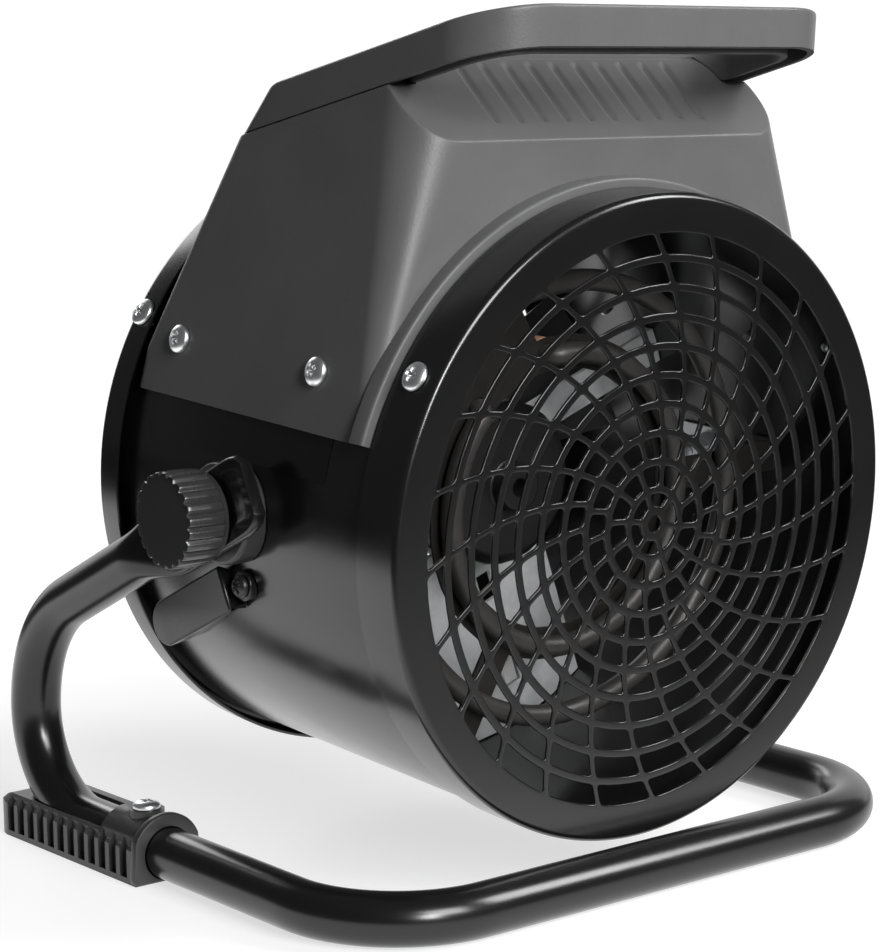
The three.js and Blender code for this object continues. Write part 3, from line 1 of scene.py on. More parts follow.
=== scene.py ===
"""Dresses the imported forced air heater: fine surfaces, finishes, a pale studio and the camera.

Every length inside the shape functions is in millimetres. "Depth" counts back from the outlet face
along the barrel, as it does in the part's source, and to_row() carries such points to the row frame.
"""

import json
import math

import bmesh
import bpy
import numpy as np
from bpy.props import FloatProperty, FloatVectorProperty, IntProperty, PointerProperty
from mathutils import Matrix, Vector
from mathutils.geometry import delaunay_2d_cdt


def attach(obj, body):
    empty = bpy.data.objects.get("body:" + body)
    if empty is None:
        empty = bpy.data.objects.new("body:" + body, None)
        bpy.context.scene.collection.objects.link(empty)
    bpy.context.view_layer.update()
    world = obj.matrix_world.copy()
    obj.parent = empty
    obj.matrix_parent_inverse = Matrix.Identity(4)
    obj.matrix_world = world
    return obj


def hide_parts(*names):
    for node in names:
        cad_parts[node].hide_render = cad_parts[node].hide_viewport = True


bl_info = {
    "name": "Forced Air Heater",
    "version": (1, 0, 0),
    "blender": (4, 5, 0),
    "location": "View3D > Sidebar > Heater",
    "description": "Builds the surfaces and finishes of a round forced air heater around its packed frame",
    "category": "Object",
}

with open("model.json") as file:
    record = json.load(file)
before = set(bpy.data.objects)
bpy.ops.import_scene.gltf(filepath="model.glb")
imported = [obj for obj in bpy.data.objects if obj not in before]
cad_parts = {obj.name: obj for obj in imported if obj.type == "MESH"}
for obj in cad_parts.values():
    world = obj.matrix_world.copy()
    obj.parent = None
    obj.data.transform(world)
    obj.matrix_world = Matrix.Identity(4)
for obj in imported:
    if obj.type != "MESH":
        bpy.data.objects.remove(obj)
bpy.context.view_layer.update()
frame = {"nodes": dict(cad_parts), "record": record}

MM = 0.001
GAP = 0.3
WHITE = (1, 1, 1, 1)

# pose and barrel
PIVOT = np.array([0.0, -12.25, 137.5])
REST_TILT = math.radians(3.5)
PIVOT_DEPTH = 91.0
BARREL_R, BARREL_WALL = 113.6, 1.2
BARREL_FRONT, BARREL_REAR = 3.0, 171.0
STRAP_FACE, EAR_FACE = BARREL_R + 3.6, BARREL_R + 0.2
FRONT_GUARD_R, FRONT_SKIRT = 115.2, 21.0
REAR_GUARD_R, REAR_BACK, REAR_SKIRT = 117.6, 175.0, 12.5
FRONT_SCREWS, REAR_SCREWS = 11.0, 168.6
SHEET = 1.2
GRILLE_R = 101.5
RING_PITCH, RING_BAR = 10.1, 2.9
GUARD_ANGLES = (30, 150, 270)
SPOKE_LINES = {24: (2.1, 97.6), 18: (4.7, 27.5), 12: (22.0, 17.4)}  # a spoke's angle at a radius, by count

# cover and handle
COVER_WALL, COVER_EDGE = 2.5, 0.7
COVER_BOTTOM = 33.6
COVER_LEAN = 0.235
COVER_SIDE = 115.6 * math.sqrt(1 + COVER_LEAN ** 2)
DECK_START, DECK_Z, DECK_SLOPE = 29.0, 131.4, 0.8
DECK_UPRIGHT = 1.28  # upright measure of a wall in the sloping deck, per millimetre of thickness
REAR_LEAN, REAR_KNEE, REAR_LOW = 0.394, 48.0, 161.6
HANDLE_SLOPE, HANDLE_TOP, HANDLE_HEIGHT = 0.292, 177.6, 13.8
HANDLE_HALF, HANDLE_TAPER = 80.3, 0.07
HANDLE_PLATE, HANDLE_WALL, HANDLE_BAR, HANDLE_LEG = 3.0, 2.4, 11.0, 12.0
HOLE_BACK = 64.0
DIAL_X, DIAL_Z = 60.0, 115.0
GLAND_X, GLAND_Z = 77.0, 95.0

# stand
STAND_HALF, TUBE_R = 127.0, 9.5
RAIL_FRONT, RAIL_REAR = -94.0, 124.0
FOOT_FRONT, FOOT_REAR = 30.0, 128.0
ARM_ANGLE = math.radians(25.5)
SIDES = (("left", -1), ("right", 1))


# ------------------------------------------------------------------ settings

class HeaterSizes(bpy.types.PropertyGroup):
    """Sizes of the visible detail that may be changed without touching the frame."""
    spoke_bar: FloatProperty(name="Spoke bar", description="Width of the grille's spokes, millimetres",
                             default=2.3, min=1.0, max=4.0)
    spoke_swirl: FloatProperty(name="Spoke swirl", description="Turn of the spokes, degrees per millimetre",
                               default=0.314, min=0.0, max=0.6)
    opening_round: FloatProperty(name="Opening corner", description="Corner radius of grille openings, mm",
                                 default=1.2, min=0.2, max=2.5)
    deck_grooves: IntProperty(name="Deck grooves", description="Grooves pressed into the deck, by number",
                              default=10, min=0, max=14)
    knob_flutes: IntProperty(name="Knob flutes", description="Flutes around each clamp knob",
                             default=22, min=8, max=48)
    handle_edge: FloatProperty(name="Handle edge", description="Rounding of the handle's upper edge, mm",
                               default=1.6, min=0.3, max=3.0)
    key_light: FloatProperty(name="Key light", description="Power of the large front light, watts",
                             default=21.0, min=0.0, max=400.0)


class HeaterFinishes(bpy.types.PropertyGroup):
    """Base colours of the finishes."""
    enamel: FloatVectorProperty(name="Enamel", description="Stove enamel of the barrel and guards",
                                subtype="COLOR", size=3, default=(0.006, 0.006, 0.0064))
    stand_paint: FloatVectorProperty(name="Stand paint", description="Powder coat of the bent tube",
                                     subtype="COLOR", size=3, default=(0.0055, 0.0055, 0.006))
    moulded: FloatVectorProperty(name="Moulded cover", description="Charcoal plastic of cover and handle",
                                 subtype="COLOR", size=3, default=(0.106, 0.106, 0.1075))
    soft_black: FloatVectorProperty(name="Black plastic", description="Knobs, feet and spacers",
                                    subtype="COLOR", size=3, default=(0.03, 0.03, 0.031))
    zinc: FloatVectorProperty(name="Zinc", description="Bright plated screws",
                              subtype="COLOR", size=3, default=(0.86, 0.87, 0.9))
    galvanised: FloatVectorProperty(name="Galvanised sheet", description="Brackets behind the grille",
                                    subtype="COLOR", size=3, default=(0.8, 0.81, 0.82))


def sizes():
    """The sizes set in the panel."""
    return bpy.context.scene.heater_sizes


def finishes():
    """The colours set in the panel."""
    return bpy.context.scene.heater_finishes


# ------------------------------------------------------------------ surface tools

def xyz(x, y, z):
    """Points from three coordinates that are broadcast against each other."""
    return np.stack(np.broadcast_arrays(x, y, z), -1)


def polar(radius, angle, depth):
    """Points (radius cos angle, depth, radius sin angle) about the barrel's axis."""
    return xyz(radius * np.cos(angle), depth, radius * np.sin(angle))


def to_row(points):
    """Depth coordinates to the row frame: move the pivot to zero, turn by the rest tilt about X, lift."""
    p = np.asarray(points, float) - (0.0, PIVOT_DEPTH, 0.0)
    c, s = math.cos(REST_TILT), math.sin(REST_TILT)
    return xyz(p[..., 0], p[..., 1] * c - p[..., 2] * s, p[..., 1] * s + p[..., 2] * c) + PIVOT


def from_pivot(points):
    """Stand coordinates, counted from the pivot axis, to the row frame."""
    return np.asarray(points, float) + PIVOT


def whole_turn(count):
    """Angles spread evenly over one turn."""
    return np.linspace(0, 2 * np.pi, count, endpoint=False)


def circle(count, radius=1.0, phase=0.0):
    """Points (radius cos a, radius sin a) for angles a spread over one turn from "phase" on."""
    angle = whole_turn(count) + phase
    return np.stack([radius * np.cos(angle), radius * np.sin(angle)], -1)


def plan_grid(x, y):
    """Every pair of the given x and y values, as rows."""
    return np.column_stack([axis.ravel() for axis in np.meshgrid(x, y)])


def level(outline, height):
    """A plan outline with one height for all its points."""
    return np.column_stack([outline, np.full(len(outline), height)])


class Shell:
    """Collects surface patches and welds them into one mesh whose faces point outwards."""

    def __init__(self, place=to_row):
        self.place, self.points, self.faces, self.count = place, [], [], 0

    def patch(self, grid, wrap_u=False, wrap_v=False):
        """Quads between neighbours of an array of points shaped (..., u, v, 3)."""
        grid = np.asarray(grid, float)
        batch = int(np.prod(grid.shape[:-3])) if grid.ndim > 3 else 1
        nu, nv = grid.shape[-3:-1]
        index = np.arange(batch * nu * nv).reshape(batch, nu, nv) + self.count
        if wrap_u:
            index = np.concatenate([index, index[:, :1]], 1)
        if wrap_v:
            index = np.concatenate([index, index[:, :, :1]], 2)
        quads = np.stack([index[:, :-1, :-1], index[:, 1:, :-1], index[:, 1:, 1:], index[:, :-1, 1:]], -1)
        self.add(grid.reshape(-1, 3), quads.reshape(-1, 4).tolist())
        return self

    def cap(self, loop):
        """One face over a closed loop of points."""
        self.add(loop, [list(range(self.count, self.count + len(loop)))])
        return self

    def turn(self, profile, sides=192, origin=(0, 0, 0), axis=(0, 1, 0)):
        """A closed profile of [radius, height] pairs turned about an axis."""
        return self.patch(lathe(profile, sides, origin, axis), wrap_u=True, wrap_v=True)

    def band(self, *rings):
        """Closed rings of equal count, joined one to the next."""
        return self.patch(np.stack(rings), wrap_v=True)

    def rod(self, rings):
        """Closed rings joined one to the next and closed at both ends."""
        return self.patch(rings, wrap_v=True).cap(rings[0]).cap(rings[-1])

    def fill(self, loops, inside, height):
        """Triangles over the plan area inside the loops, lifted to height(x, y)."""
        plan = [np.asarray(loop, float)[:, :2] for loop in loops]
        edges, start = [], 0
        for loop in plan:
            ring = np.arange(len(loop)) + start
            edges += np.stack([ring, np.roll(ring, -1)], 1).tolist()
            start += len(loop)
        inside = np.asarray(inside, float).reshape(-1, 2)
        if len(inside):
            inside = inside[within(inside, plan)]
        flat = np.concatenate(plan + [inside])
        out = delaunay_2d_cdt([Vector(p) for p in flat.tolist()], edges, [], 0, 1e-6)
        points = np.array([tuple(p) for p in out[0]])
        triangles = np.array(out[2])
        triangles = triangles[within(points[triangles].mean(1), plan)]
        lifted = np.column_stack([points, height(points[:, 0], points[:, 1])])
        known = np.concatenate([np.asarray(loop, float) for loop in loops])
        order = np.array([group[0] if group else -1 for group in out[3]])
        kept = (order >= 0) & (order < len(known))
        lifted[kept] = known[order[kept]]
        self.add(lifted, (triangles + self.count).tolist())
        return self

    def add(self, points, faces):
        """Keeps points and faces, whose numbers already count on from the points kept before."""
        points = np.asarray(points, float).reshape(-1, 3)
        self.points.append(points)
        self.faces += faces
        self.count += len(points)

    def piece(self, name, slot, node=None, body="heater", material=None, weld=0.004, sharp=38.0):
        """Makes the welded object with outward faces, in place of a node of the frame if one is named."""
        mesh = bpy.data.meshes.new(name)
        mesh.from_pydata((self.place(np.concatenate(self.points)) * MM).tolist(), [], self.faces)
        work = bmesh.new()
        work.from_mesh(mesh)
        bmesh.ops.remove_doubles(work, verts=work.verts, dist=weld * MM)
        bmesh.ops.dissolve_degenerate(work, edges=work.edges, dist=1e-7)
        bmesh.ops.recalc_face_normals(work, faces=work.faces)
        work.to_mesh(mesh)
        work.free()
        return settle(mesh, slot, node, body, material, sharp)


def shown(name, data):
    """A new object over the data, linked to the scene."""
    obj = bpy.data.objects.new(name, data)
    bpy.context.scene.collection.objects.link(obj)
    return obj


def settle(mesh, slot, node, body, material, sharp):
    """Shows a mesh with its finish, smooth up to an edge angle, hangs it on its body and hides the node it
    stands for.
    """
    obj = shown(mesh.name, mesh)
    mesh.materials.clear()
    mesh.materials.append(material or palette()[slot])
    mesh.polygons.foreach_set("use_smooth", np.ones(len(mesh.polygons), bool))
    mesh.polygons.foreach_set("material_index", np.zeros(len(mesh.polygons), np.int32))
    mesh.set_sharp_from_angle(angle=math.radians(sharp))
    mesh.update()
    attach(obj, body)
    if node:
        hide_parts(node)
    return obj


def within(points, loops):
    """True where a ray from the point crosses the loops' edges an odd number of times."""
    odd = np.zeros(len(points), bool)
    for loop in loops:
        a, b = loop, np.roll(loop, -1, 0)
        x, y = points[:, :1], points[:, 1:2]
        spans = (a[:, 1] > y) != (b[:, 1] > y)
        with np.errstate(divide="ignore", invalid="ignore"):
            crossing = a[:, 0] + (y - a[:, 1]) * (b[:, 0] - a[:, 0]) / (b[:, 1] - a[:, 1])
        odd ^= (np.sum(spans & (x < crossing), 1) % 2).astype(bool)
    return odd


def square_to(axis):
    """Two unit vectors at right angles to a unit axis and to each other."""
    helper = (0, 0, 1) if abs(axis[2]) < 0.9 else (1, 0, 0)
    u = np.cross(helper, axis)
    u /= np.linalg.norm(u)
    return u, np.cross(axis, u)


def lathe(profile, sides=192, origin=(0, 0, 0), axis=(0, 1, 0)):
    """A closed profile of [radius, height] pairs turned about an axis: grid (sides, profile)."""
    profile = np.asarray(profile, float)
    axis = np.asarray(axis, float) / np.linalg.norm(axis)
    u, v = square_to(axis)
    angle = whole_turn(sides)[:, None, None]
    ring = np.cos(angle) * u + np.sin(angle) * v
    return np.asarray(origin, float) + ring * profile[None, :, :1] + axis * profile[None, :, 1:2]


def bend(a, corner, b, t):
    """Quadratic curve from a to b that leans towards the corner."""
    return (1 - t) ** 2 * a + 2 * t * (1 - t) * corner + t ** 2 * b


def inward(outline):
    """Unit vectors square to a closed outline that runs counter-clockwise, pointing into it."""
    ahead = np.roll(outline, -1, 0) - np.roll(outline, 1, 0)
    return np.column_stack([-ahead[:, 1], ahead[:, 0]]) / np.linalg.norm(ahead, axis=1, keepdims=True)


def rounded(profile, radius, steps=4):
    """Replaces each corner of a closed profile by a curve that starts and ends "radius" from it."""
    p = np.asarray(profile, float)
    radius = np.broadcast_to(np.asarray(radius, float), len(p))[:, None]
    to_last, to_next = np.roll(p, 1, 0) - p, np.roll(p, -1, 0) - p
    reach = lambda way: way / np.linalg.norm(way, axis=1, keepdims=True) * np.minimum(
        radius, 0.45 * np.linalg.norm(way, axis=1, keepdims=True))
    a, b = p + reach(to_last), p + reach(to_next)
    t = np.linspace(0, 1, steps + 1)[None, :, None]
    return bend(a[:, None], p[:, None], b[:, None], t).reshape(-1, p.shape[1])


def sweep(shell, path, side, section):
    """Carries section[station, point, (u, v)] along a path, u along "side" and v square to both."""
    tangent = np.gradient(path, axis=0)
    tangent /= np.linalg.norm(tangent, axis=1, keepdims=True)
    side = side - tangent * np.sum(side * tangent, 1, keepdims=True)
    side /= np.linalg.norm(side, axis=1, keepdims=True)
    up = np.cross(tangent, side)
    grid = path[:, None] + side[:, None] * section[..., :1] + up[:, None] * section[..., 1:2]
    return shell.rod(grid)


def softened(node, name, slot, width, sharp=35.0, body="heater", material=None):
    """A welded copy of a solid with small rounded edges, standing for it."""
    mesh = frame["nodes"][node].data.copy()
    mesh.name = name
    work = bmesh.new()
    work.from_mesh(mesh)
    bmesh.ops.remove_doubles(work, verts=work.verts, dist=1e-6)
    bmesh.ops.dissolve_limit(work, angle_limit=math.radians(0.6), verts=work.verts, edges=work.edges)
    work.to_mesh(mesh)
    work.free()
    for attribute in [a.name for a in mesh.attributes if a.name.startswith("custom_normal")]:
        mesh.attributes.remove(mesh.attributes[attribute])
    obj = settle(mesh, slot, node, body, material, sharp)
    bevel = obj.modifiers.new("edge", "BEVEL")
    bevel.width, bevel.segments = width * MM, 2
    bevel.limit_method, bevel.angle_limit = "ANGLE", math.radians(35)
    return obj


# ------------------------------------------------------------------ finishes

class Nodes:
    """Short ways to add nodes to a tree and to join them."""

    def __init__(self, tree):
        self.tree = tree

    def add(self, kind, inputs=(), **settings):
        """A node with its settings. An input is either set to a value or linked to a socket."""
        node = self.tree.nodes.new("ShaderNode" + kind)
        for key, value in settings.items():
            setattr(node, key, value)
        self.feed(node, inputs)
        return node

    def feed(self, node, inputs):
        """Sets or links the inputs of a node."""
        for key, value in inputs:
            if isinstance(value, bpy.types.NodeSocket):
                self.tree.links.new(value, node.inputs[key])
            else:
                node.inputs[key].default_value = value

    def math(self, operation, *values, clamp=False):
        """The result of one arithmetic step on numbers or sockets."""
        return self.add("Math", enumerate(values), operation=operation, use_clamp=clamp).outputs[0]

    def place(self):
        """The Object coordinates."""
        return self.add("TexCoord").outputs["Object"]

    def ramp(self, value, start, end, low, high, shape="SMOOTHSTEP"):
        """Leads a value from low to high while it runs from start to end."""
        inputs = (("Value", value), ("From Min", start), ("From Max", end), ("To Min", low), ("To Max", high))
        return self.add("MapRange", inputs, interpolation_type=shape).outputs["Result"]


def surface_grain():
    """Group: fine grain height, slow mottling and a faint dust mask from Object coordinates."""
    if "surface_grain" in bpy.data.node_groups:
        return bpy.data.node_groups["surface_grain"]
    group = bpy.data.node_groups.new("surface_grain", "ShaderNodeTree")
    for title, value in (("Grain Scale", 900.0), ("Mottle Scale", 30.0), ("Base", (0.1, 0.1, 0.1, 1)),
                         ("Contrast", 0.1), ("Roughness", 0.4), ("Roughness Spread", 0.08), ("Dust", 0.02)):
        kind = "NodeSocketColor" if title == "Base" else "NodeSocketFloat"
        group.interface.new_socket(title, in_out="INPUT", socket_type=kind).default_value = value
    for title, kind in (("Color", "Color"), ("Roughness", "Float"), ("Height", "Float")):
        group.interface.new_socket(title, in_out="OUTPUT", socket_type="NodeSocket" + kind)
    n = Nodes(group)
    given, out = group.nodes.new("NodeGroupInput").outputs, group.nodes.new("NodeGroupOutput")
    place = n.place()
    grain = n.add("TexNoise", (("Detail", 3.0), ("Vector", place), ("Scale", given["Grain Scale"])))
    mottle = n.add("TexNoise", (("Detail", 5.0), ("Roughness", 0.6), ("Vector", place),
                                ("Scale", given["Mottle Scale"]))).outputs["Fac"]
    centred = n.math("SUBTRACT", mottle, 0.5)
    tone = n.math("MULTIPLY_ADD", n.math("MULTIPLY", centred, given["Contrast"]), 2.0, 1.0)
    shade = n.add("VectorMath", ((0, given["Base"]), ("Scale", tone)), operation="SCALE")
    split = n.add("SeparateXYZ", ((0, n.add("NewGeometry").outputs["Normal"]),))
    upward = n.math("MULTIPLY", split.outputs["Z"], mottle, clamp=True)
    dusty = n.add("Mix", data_type="RGBA")
    n.feed(dusty, (("Factor", n.math("MULTIPLY", upward, given["Dust"])), ("A", shade.outputs[0]),
                   ("B", (0.45, 0.44, 0.42, 1))))
    rough = n.math("MULTIPLY", centred, given["Roughness Spread"])
    n.feed(out, (("Color", dusty.outputs["Result"]), ("Height", grain.outputs["Fac"]),
                 ("Roughness", n.math("MULTIPLY_ADD", rough, 2.0, given["Roughness"]))))
    return group


def new_material(name):
    """A material with its node helper and its shader."""
    material = bpy.data.materials.new(name)
    material.use_nodes = True
    return material, Nodes(material.node_tree), material.node_tree.nodes["Principled BSDF"]


def finish(name, color, roughness, metallic=0.0, grain=900.0, bump=0.08, depth=0.05, contrast=0.12,
           spread=0.06, dust=0.015, mottle=28.0, specular=0.5):
    """A plain finish: surface_grain feeds colour, roughness and a small bump."""
    if name in bpy.data.materials:
        return bpy.data.materials[name]
    material, n, shader = new_material(name)
    group = n.add("Group", node_tree=surface_grain())
    n.feed(group, (("Grain Scale", grain), ("Mottle Scale", mottle), ("Base", (*color, 1.0)),
                   ("Contrast", contrast), ("Roughness", roughness), ("Roughness Spread", spread),
                   ("Dust", dust)))
    relief = n.add("Bump", (("Strength", bump), ("Distance", depth * MM),
                            ("Height", group.outputs["Height"])))
    n.feed(shader, (("Metallic", metallic), ("Specular IOR Level", specular),
                    ("Base Color", group.outputs["Color"]), ("Roughness", group.outputs["Roughness"]),
                    ("Normal", relief.outputs["Normal"])))
    material.diffuse_color = (*color, 1.0)
    return material


def palette():
    """Every finish of the heater by the record's slot name."""
    look = finishes()
    return {
        "painted_steel": finish("stove_enamel", look.enamel, 0.22, grain=420, bump=0.15, depth=0.03,
                                dust=0.004, specular=0.6),
        "stand_paint": finish("stand_powder_coat", look.stand_paint, 0.24, grain=380, bump=0.2, depth=0.03,
                              dust=0.004),
        "moulded_grey": finish("spark_textured_plastic", look.moulded, 0.4, grain=1100, bump=0.8,
                               depth=0.07, contrast=0.15, dust=0.02, specular=0.38),
        "black_plastic": finish("satin_black_plastic", look.soft_black, 0.4, grain=1300, bump=0.3, depth=0.04,
                                dust=0.006),
        "zinc": finish("bright_zinc", look.zinc, 0.36, 1.0, grain=700, bump=0.2, depth=0.02, spread=0.12,
                       dust=0.0),
        "black_steel": finish("black_oxide", (0.045, 0.045, 0.047), 0.35, 0.7, grain=600, bump=0.2),
        "galvanised": finish("galvanised_sheet", look.galvanised, 0.45, 0.3, grain=260, bump=0.25,
                             contrast=0.35, mottle=90, spread=0.15, dust=0.0),
        "element_steel": finish("heat_darkened_tube", (0.075, 0.072, 0.07), 0.42, 0.5, grain=500, bump=0.3,
                                contrast=0.4, mottle=60, spread=0.15),
        "ceramic": finish("fired_ceramic", (0.52, 0.27, 0.18), 0.6, grain=800, bump=0.3, contrast=0.15),
        "fan_alloy": finish("pressed_fan_sheet", (0.09, 0.09, 0.094), 0.4, 0.7, grain=300, bump=0.2,
                            contrast=0.2, mottle=50),
        "light_plastic": finish("ivory_plastic", (0.62, 0.58, 0.48), 0.5, grain=900, bump=0.2),
    }


# ------------------------------------------------------------------ guards

def perforated(shell, count, phase, swirl, opening, cell, bar, face, back, corner):
    """One ring of rounded openings between spokes.

    Each cell runs between two spoke centre lines, whose angle grows evenly with radius, and between
    two circles. Twenty-four points go round the opening and round the cell, and the levels lead from
    the cell's edge on the front, over a quarter-round lip and through the opening, to the back.
    """
    signs = [(1, 1), (1, -1), (-1, -1), (-1, 1)]
    rows = []
    for turn, (ex, ey) in enumerate(signs):
        nx, ny = signs[(turn + 1) % 4]
        ends = [(0.82 * ex, ey), (ex, ey), (ex, 0.82 * ey)][::-1 if turn % 2 else 1]
        for end, a in zip(ends, np.radians([90.0, 45.0, 0.0]) - turn * np.pi / 2):
            rows.append((ex, ey, np.cos(a), np.sin(a), *end))
        for f in (0.25, 0.5, 0.75):
            x, y = ex + (nx - ex) * f, ey + (ny - ey) * f
            rows.append((x, y, (ex + nx) / 2, (ey + ny) / 2, x, y))
    sx, sy, arc_x, arc_y, cell_p, cell_q = np.array(rows, float).T
    step = 2 * np.pi / count
    middle, half = sum(opening) / 2, (opening[0] - opening[1]) / 2

    def line(radius):
        """Angle of a spoke's centre line at a radius."""
        return math.radians(phase) + math.radians(swirl) * (radius - GRILLE_R)

    def opening_ring(grow):
        """The opening with every edge moved out by "grow"; its corners are arcs."""
        b = half + grow
        tight = min(corner, 0.42 * half) + grow
        y = sy * (b - tight) + arc_y * tight
        radius = middle + y
        a = radius * step / 2 - bar / 2 + grow
        soft = np.minimum(tight, 0.45 * a)
        x = sx * (a - soft) + arc_x * soft
        return radius, line(radius) + step / 2 + x / radius

    def cell_ring():
        """The cell's edge: two circles and two spoke centre lines."""
        radius = (cell[0] + cell[1]) / 2 + cell_q * (cell[0] - cell[1]) / 2
        return radius, line(radius) + step / 2 + cell_p * step / 2

    lip = 0.52
    away = math.copysign(lip, back - face)
    curl = [(lip * (1 - math.sin(a)), 1 - math.cos(a)) for a in np.radians(np.linspace(0, 90, 5))]
    rings = [cell_ring(), *[opening_ring(grow) for grow, _ in curl],
             *[opening_ring(grow) for grow, _ in curl[::-2]], cell_ring()]
    depth = [face, *[face + away * drop for _, drop in curl], *[back - away * drop for _, drop in curl[::-2]],
             back]
    radius = np.stack([r for r, _ in rings], -1)
    angle = np.stack([a for _, a in rings], -1)
    turns = angle[None] + (np.arange(count) * step)[:, None, None]
    shell.patch(polar(radius, turns, depth), wrap_u=True)
    for edge in cell:
        shell.patch(polar(edge, whole_turn(count * 6)[:, None], np.array([face, back])), wrap_u=True)


def rim_profile(outer, inner, face, skirt_end, roll=2.6):
    """Flat band, rolled edge and skirt of a pressed guard, as a closed profile."""
    way = math.copysign(1.0, skirt_end - face)
    edge = np.radians(np.linspace(0, 90, 9))
    outside = [(outer - roll + roll * math.sin(a), face + way * roll * (1 - math.cos(a))) for a in edge]
    small = roll - SHEET
    inside = [(outer - roll + small * math.sin(a), face + way * (SHEET + small * (1 - math.cos(a))))
              for a in edge[::-1]]
    return [(inner, face), *outside, (outer, skirt_end - way * 0.4), (outer - 0.4, skirt_end),
            (outer - SHEET + 0.2, skirt_end), (outer - SHEET, skirt_end - way * 0.4), *inside,
            (inner, face + way * SHEET)]


class OBJECT_OT_heater_outlet_guard(bpy.types.Operator):
    """Outlet guard: rings of rounded openings between swirling spokes, in a rolled rim"""
    bl_idname = "object.heater_outlet_guard"
    bl_label = "Outlet guard"

    def execute(self, context):
        size = sizes()
        shell = Shell()
        for k, count in enumerate([24] * 7 + [18, 12]):
            outer = GRILLE_R - RING_PITCH * k
            inner = outer - RING_PITCH + RING_BAR
            angle, radius = SPOKE_LINES[count]
            phase = angle + size.spoke_swirl * (GRILLE_R - radius)
            perforated(shell, count, phase, size.spoke_swirl, (outer, inner),
                       (outer + RING_BAR / 2, inner - RING_BAR / 2), size.spoke_bar, 0.0, SHEET,
                       size.opening_round)
        # the innermost openings, and the boss with its small bore
        perforated(shell, 6, 49.8, 0.0, (10.8, 6.3), (12.05, 5.0), size.spoke_bar, 0.0, SHEET, 0.9)
        shell.turn([(5.0, 0), (3.2, 0), (2.9, 0.3), (2.9, SHEET - 0.3), (3.2, SHEET), (5.0, SHEET)], 36)
        shell.turn(rim_profile(FRONT_GUARD_R, GRILLE_R + RING_BAR / 2 - 0.05, 0.0, FRONT_SKIRT))
        shell.piece("outlet_guard", "painted_steel", "front_guard", weld=0.002)
        return {"FINISHED"}


class OBJECT_OT_heater_intake_guard(bpy.types.Operator):
    """Intake guard: three rings of wide openings in a rolled rim, on three small standoffs"""
    bl_idname = "object.heater_intake_guard"
    bl_label = "Intake guard"

    def execute(self, context):
        shell = Shell()
        front = REAR_BACK - SHEET
        for k, count in enumerate((20, 15, 10)):
            outer = 100.0 - 26.0 * k
            perforated(shell, count, 0.0, 0.0, (outer, outer - 22.0), (outer + 2.0, outer - 24.0), 5.0,
                       REAR_BACK, front, 2.2)
        shell.turn([(24.0, REAR_BACK), (22.0, REAR_BACK), (0.0, REAR_BACK), (0.0, front), (24.0, front)], 72)
        shell.turn(rim_profile(REAR_GUARD_R, 101.95, REAR_BACK, REAR_BACK - REAR_SKIRT))
        for angle in np.radians(GUARD_ANGLES):
            way = polar(1.0, angle, 0.0)
            shell.turn([(0, 0), (4.2, 0), (4.0, 1.2), (3.6, 2.8), (0, 2.8)], 32,
                       way * (BARREL_R + GAP) + (0, REAR_SCREWS, 0), way)
        shell.piece("intake_guard", "painted_steel", "rear_guard", weld=0.002)
        return {"FINISHED"}


class OBJECT_OT_heater_barrel(bpy.types.Operator):
    """Barrel: a thin rolled steel tube with softened ends and a blank plate on its left side"""
    bl_idname = "object.heater_barrel"
    bl_label = "Barrel"

    def execute(self, context):
        inner = BARREL_R - BARREL_WALL
        wall = rounded([(BARREL_R, BARREL_FRONT), (BARREL_R, BARREL_REAR), (inner, BARREL_REAR),
                        (inner, BARREL_FRONT)], 0.45, 3)
        Shell().turn(wall, 256).piece("barrel_tube", "painted_steel", "barrel")
        angle = np.radians(np.linspace(162.6, 171.0, 26))[:, None]
        depth = rounded([(42.5, 0.02), (148.0, 0.02), (148.0, 0.24), (42.5, 0.24)], 0.1, 2)
        film = finish("blank_plate_film", (0.004, 0.004, 0.0045), 0.18, grain=300, bump=0.1, depth=0.02)
        plate = Shell().rod(polar(BARREL_R + depth[:, 1], angle, depth[:, 0]))
        plate.piece("side_plate", "painted_steel", material=film)
        return {"FINISHED"}


# ------------------------------------------------------------------ cover

def ring_columns(corner, side, front, rear):
    """Template of a rounded rectangle: the corner each column starts from, its angle and its share."""
    which, angle, share = [], [], []
    for k, count in enumerate((side, rear, side, front)):
        a = np.radians(-90 + 90 * k + np.linspace(0, 90, corner + 1))
        which += [k] * (corner + 1)
        angle += a.tolist()
        share += [0.0] * (corner + 1)
        f = np.linspace(0, 1, count + 1)[1:-1]
        which += [k] * len(f)
        angle += [a[-1]] * len(f)
        share += f.tolist()
    return np.array(which), np.array(angle), np.array(share)


def ring_points(template, centre_x, centre_y, radius):
    """Points of the template: each corner is an arc about (sign * centre_x, centre_y), sides are straight."""
    which, angle, share = template
    sign = np.array([1, 1, -1, -1])
    rear = np.array([0, 1, 1, 0])

    def at(k):
        """Points of the corners k at the template's angles."""
        r = np.where(rear[k] == 1, radius[1], radius[0])
        x = sign[k] * np.where(rear[k] == 1, centre_x[1], centre_x[0]) + r * np.cos(angle)
        y = np.where(rear[k] == 1, centre_y[1], centre_y[0]) + r * np.sin(angle)
        return x, y

    x0, y0 = at(which)
    x1, y1 = at((which + 1) % 4)
    return x0 + (x1 - x0) * share, y0 + (y1 - y0) * share


def deck_height(y):
    """Height of the deck, which rises evenly towards the back."""
    return DECK_Z + DECK_SLOPE * (y - DECK_START)


def handle_height(y):
    """Height of the handle's top, which falls evenly towards the back."""
    return HANDLE_TOP - HANDLE_SLOPE * y


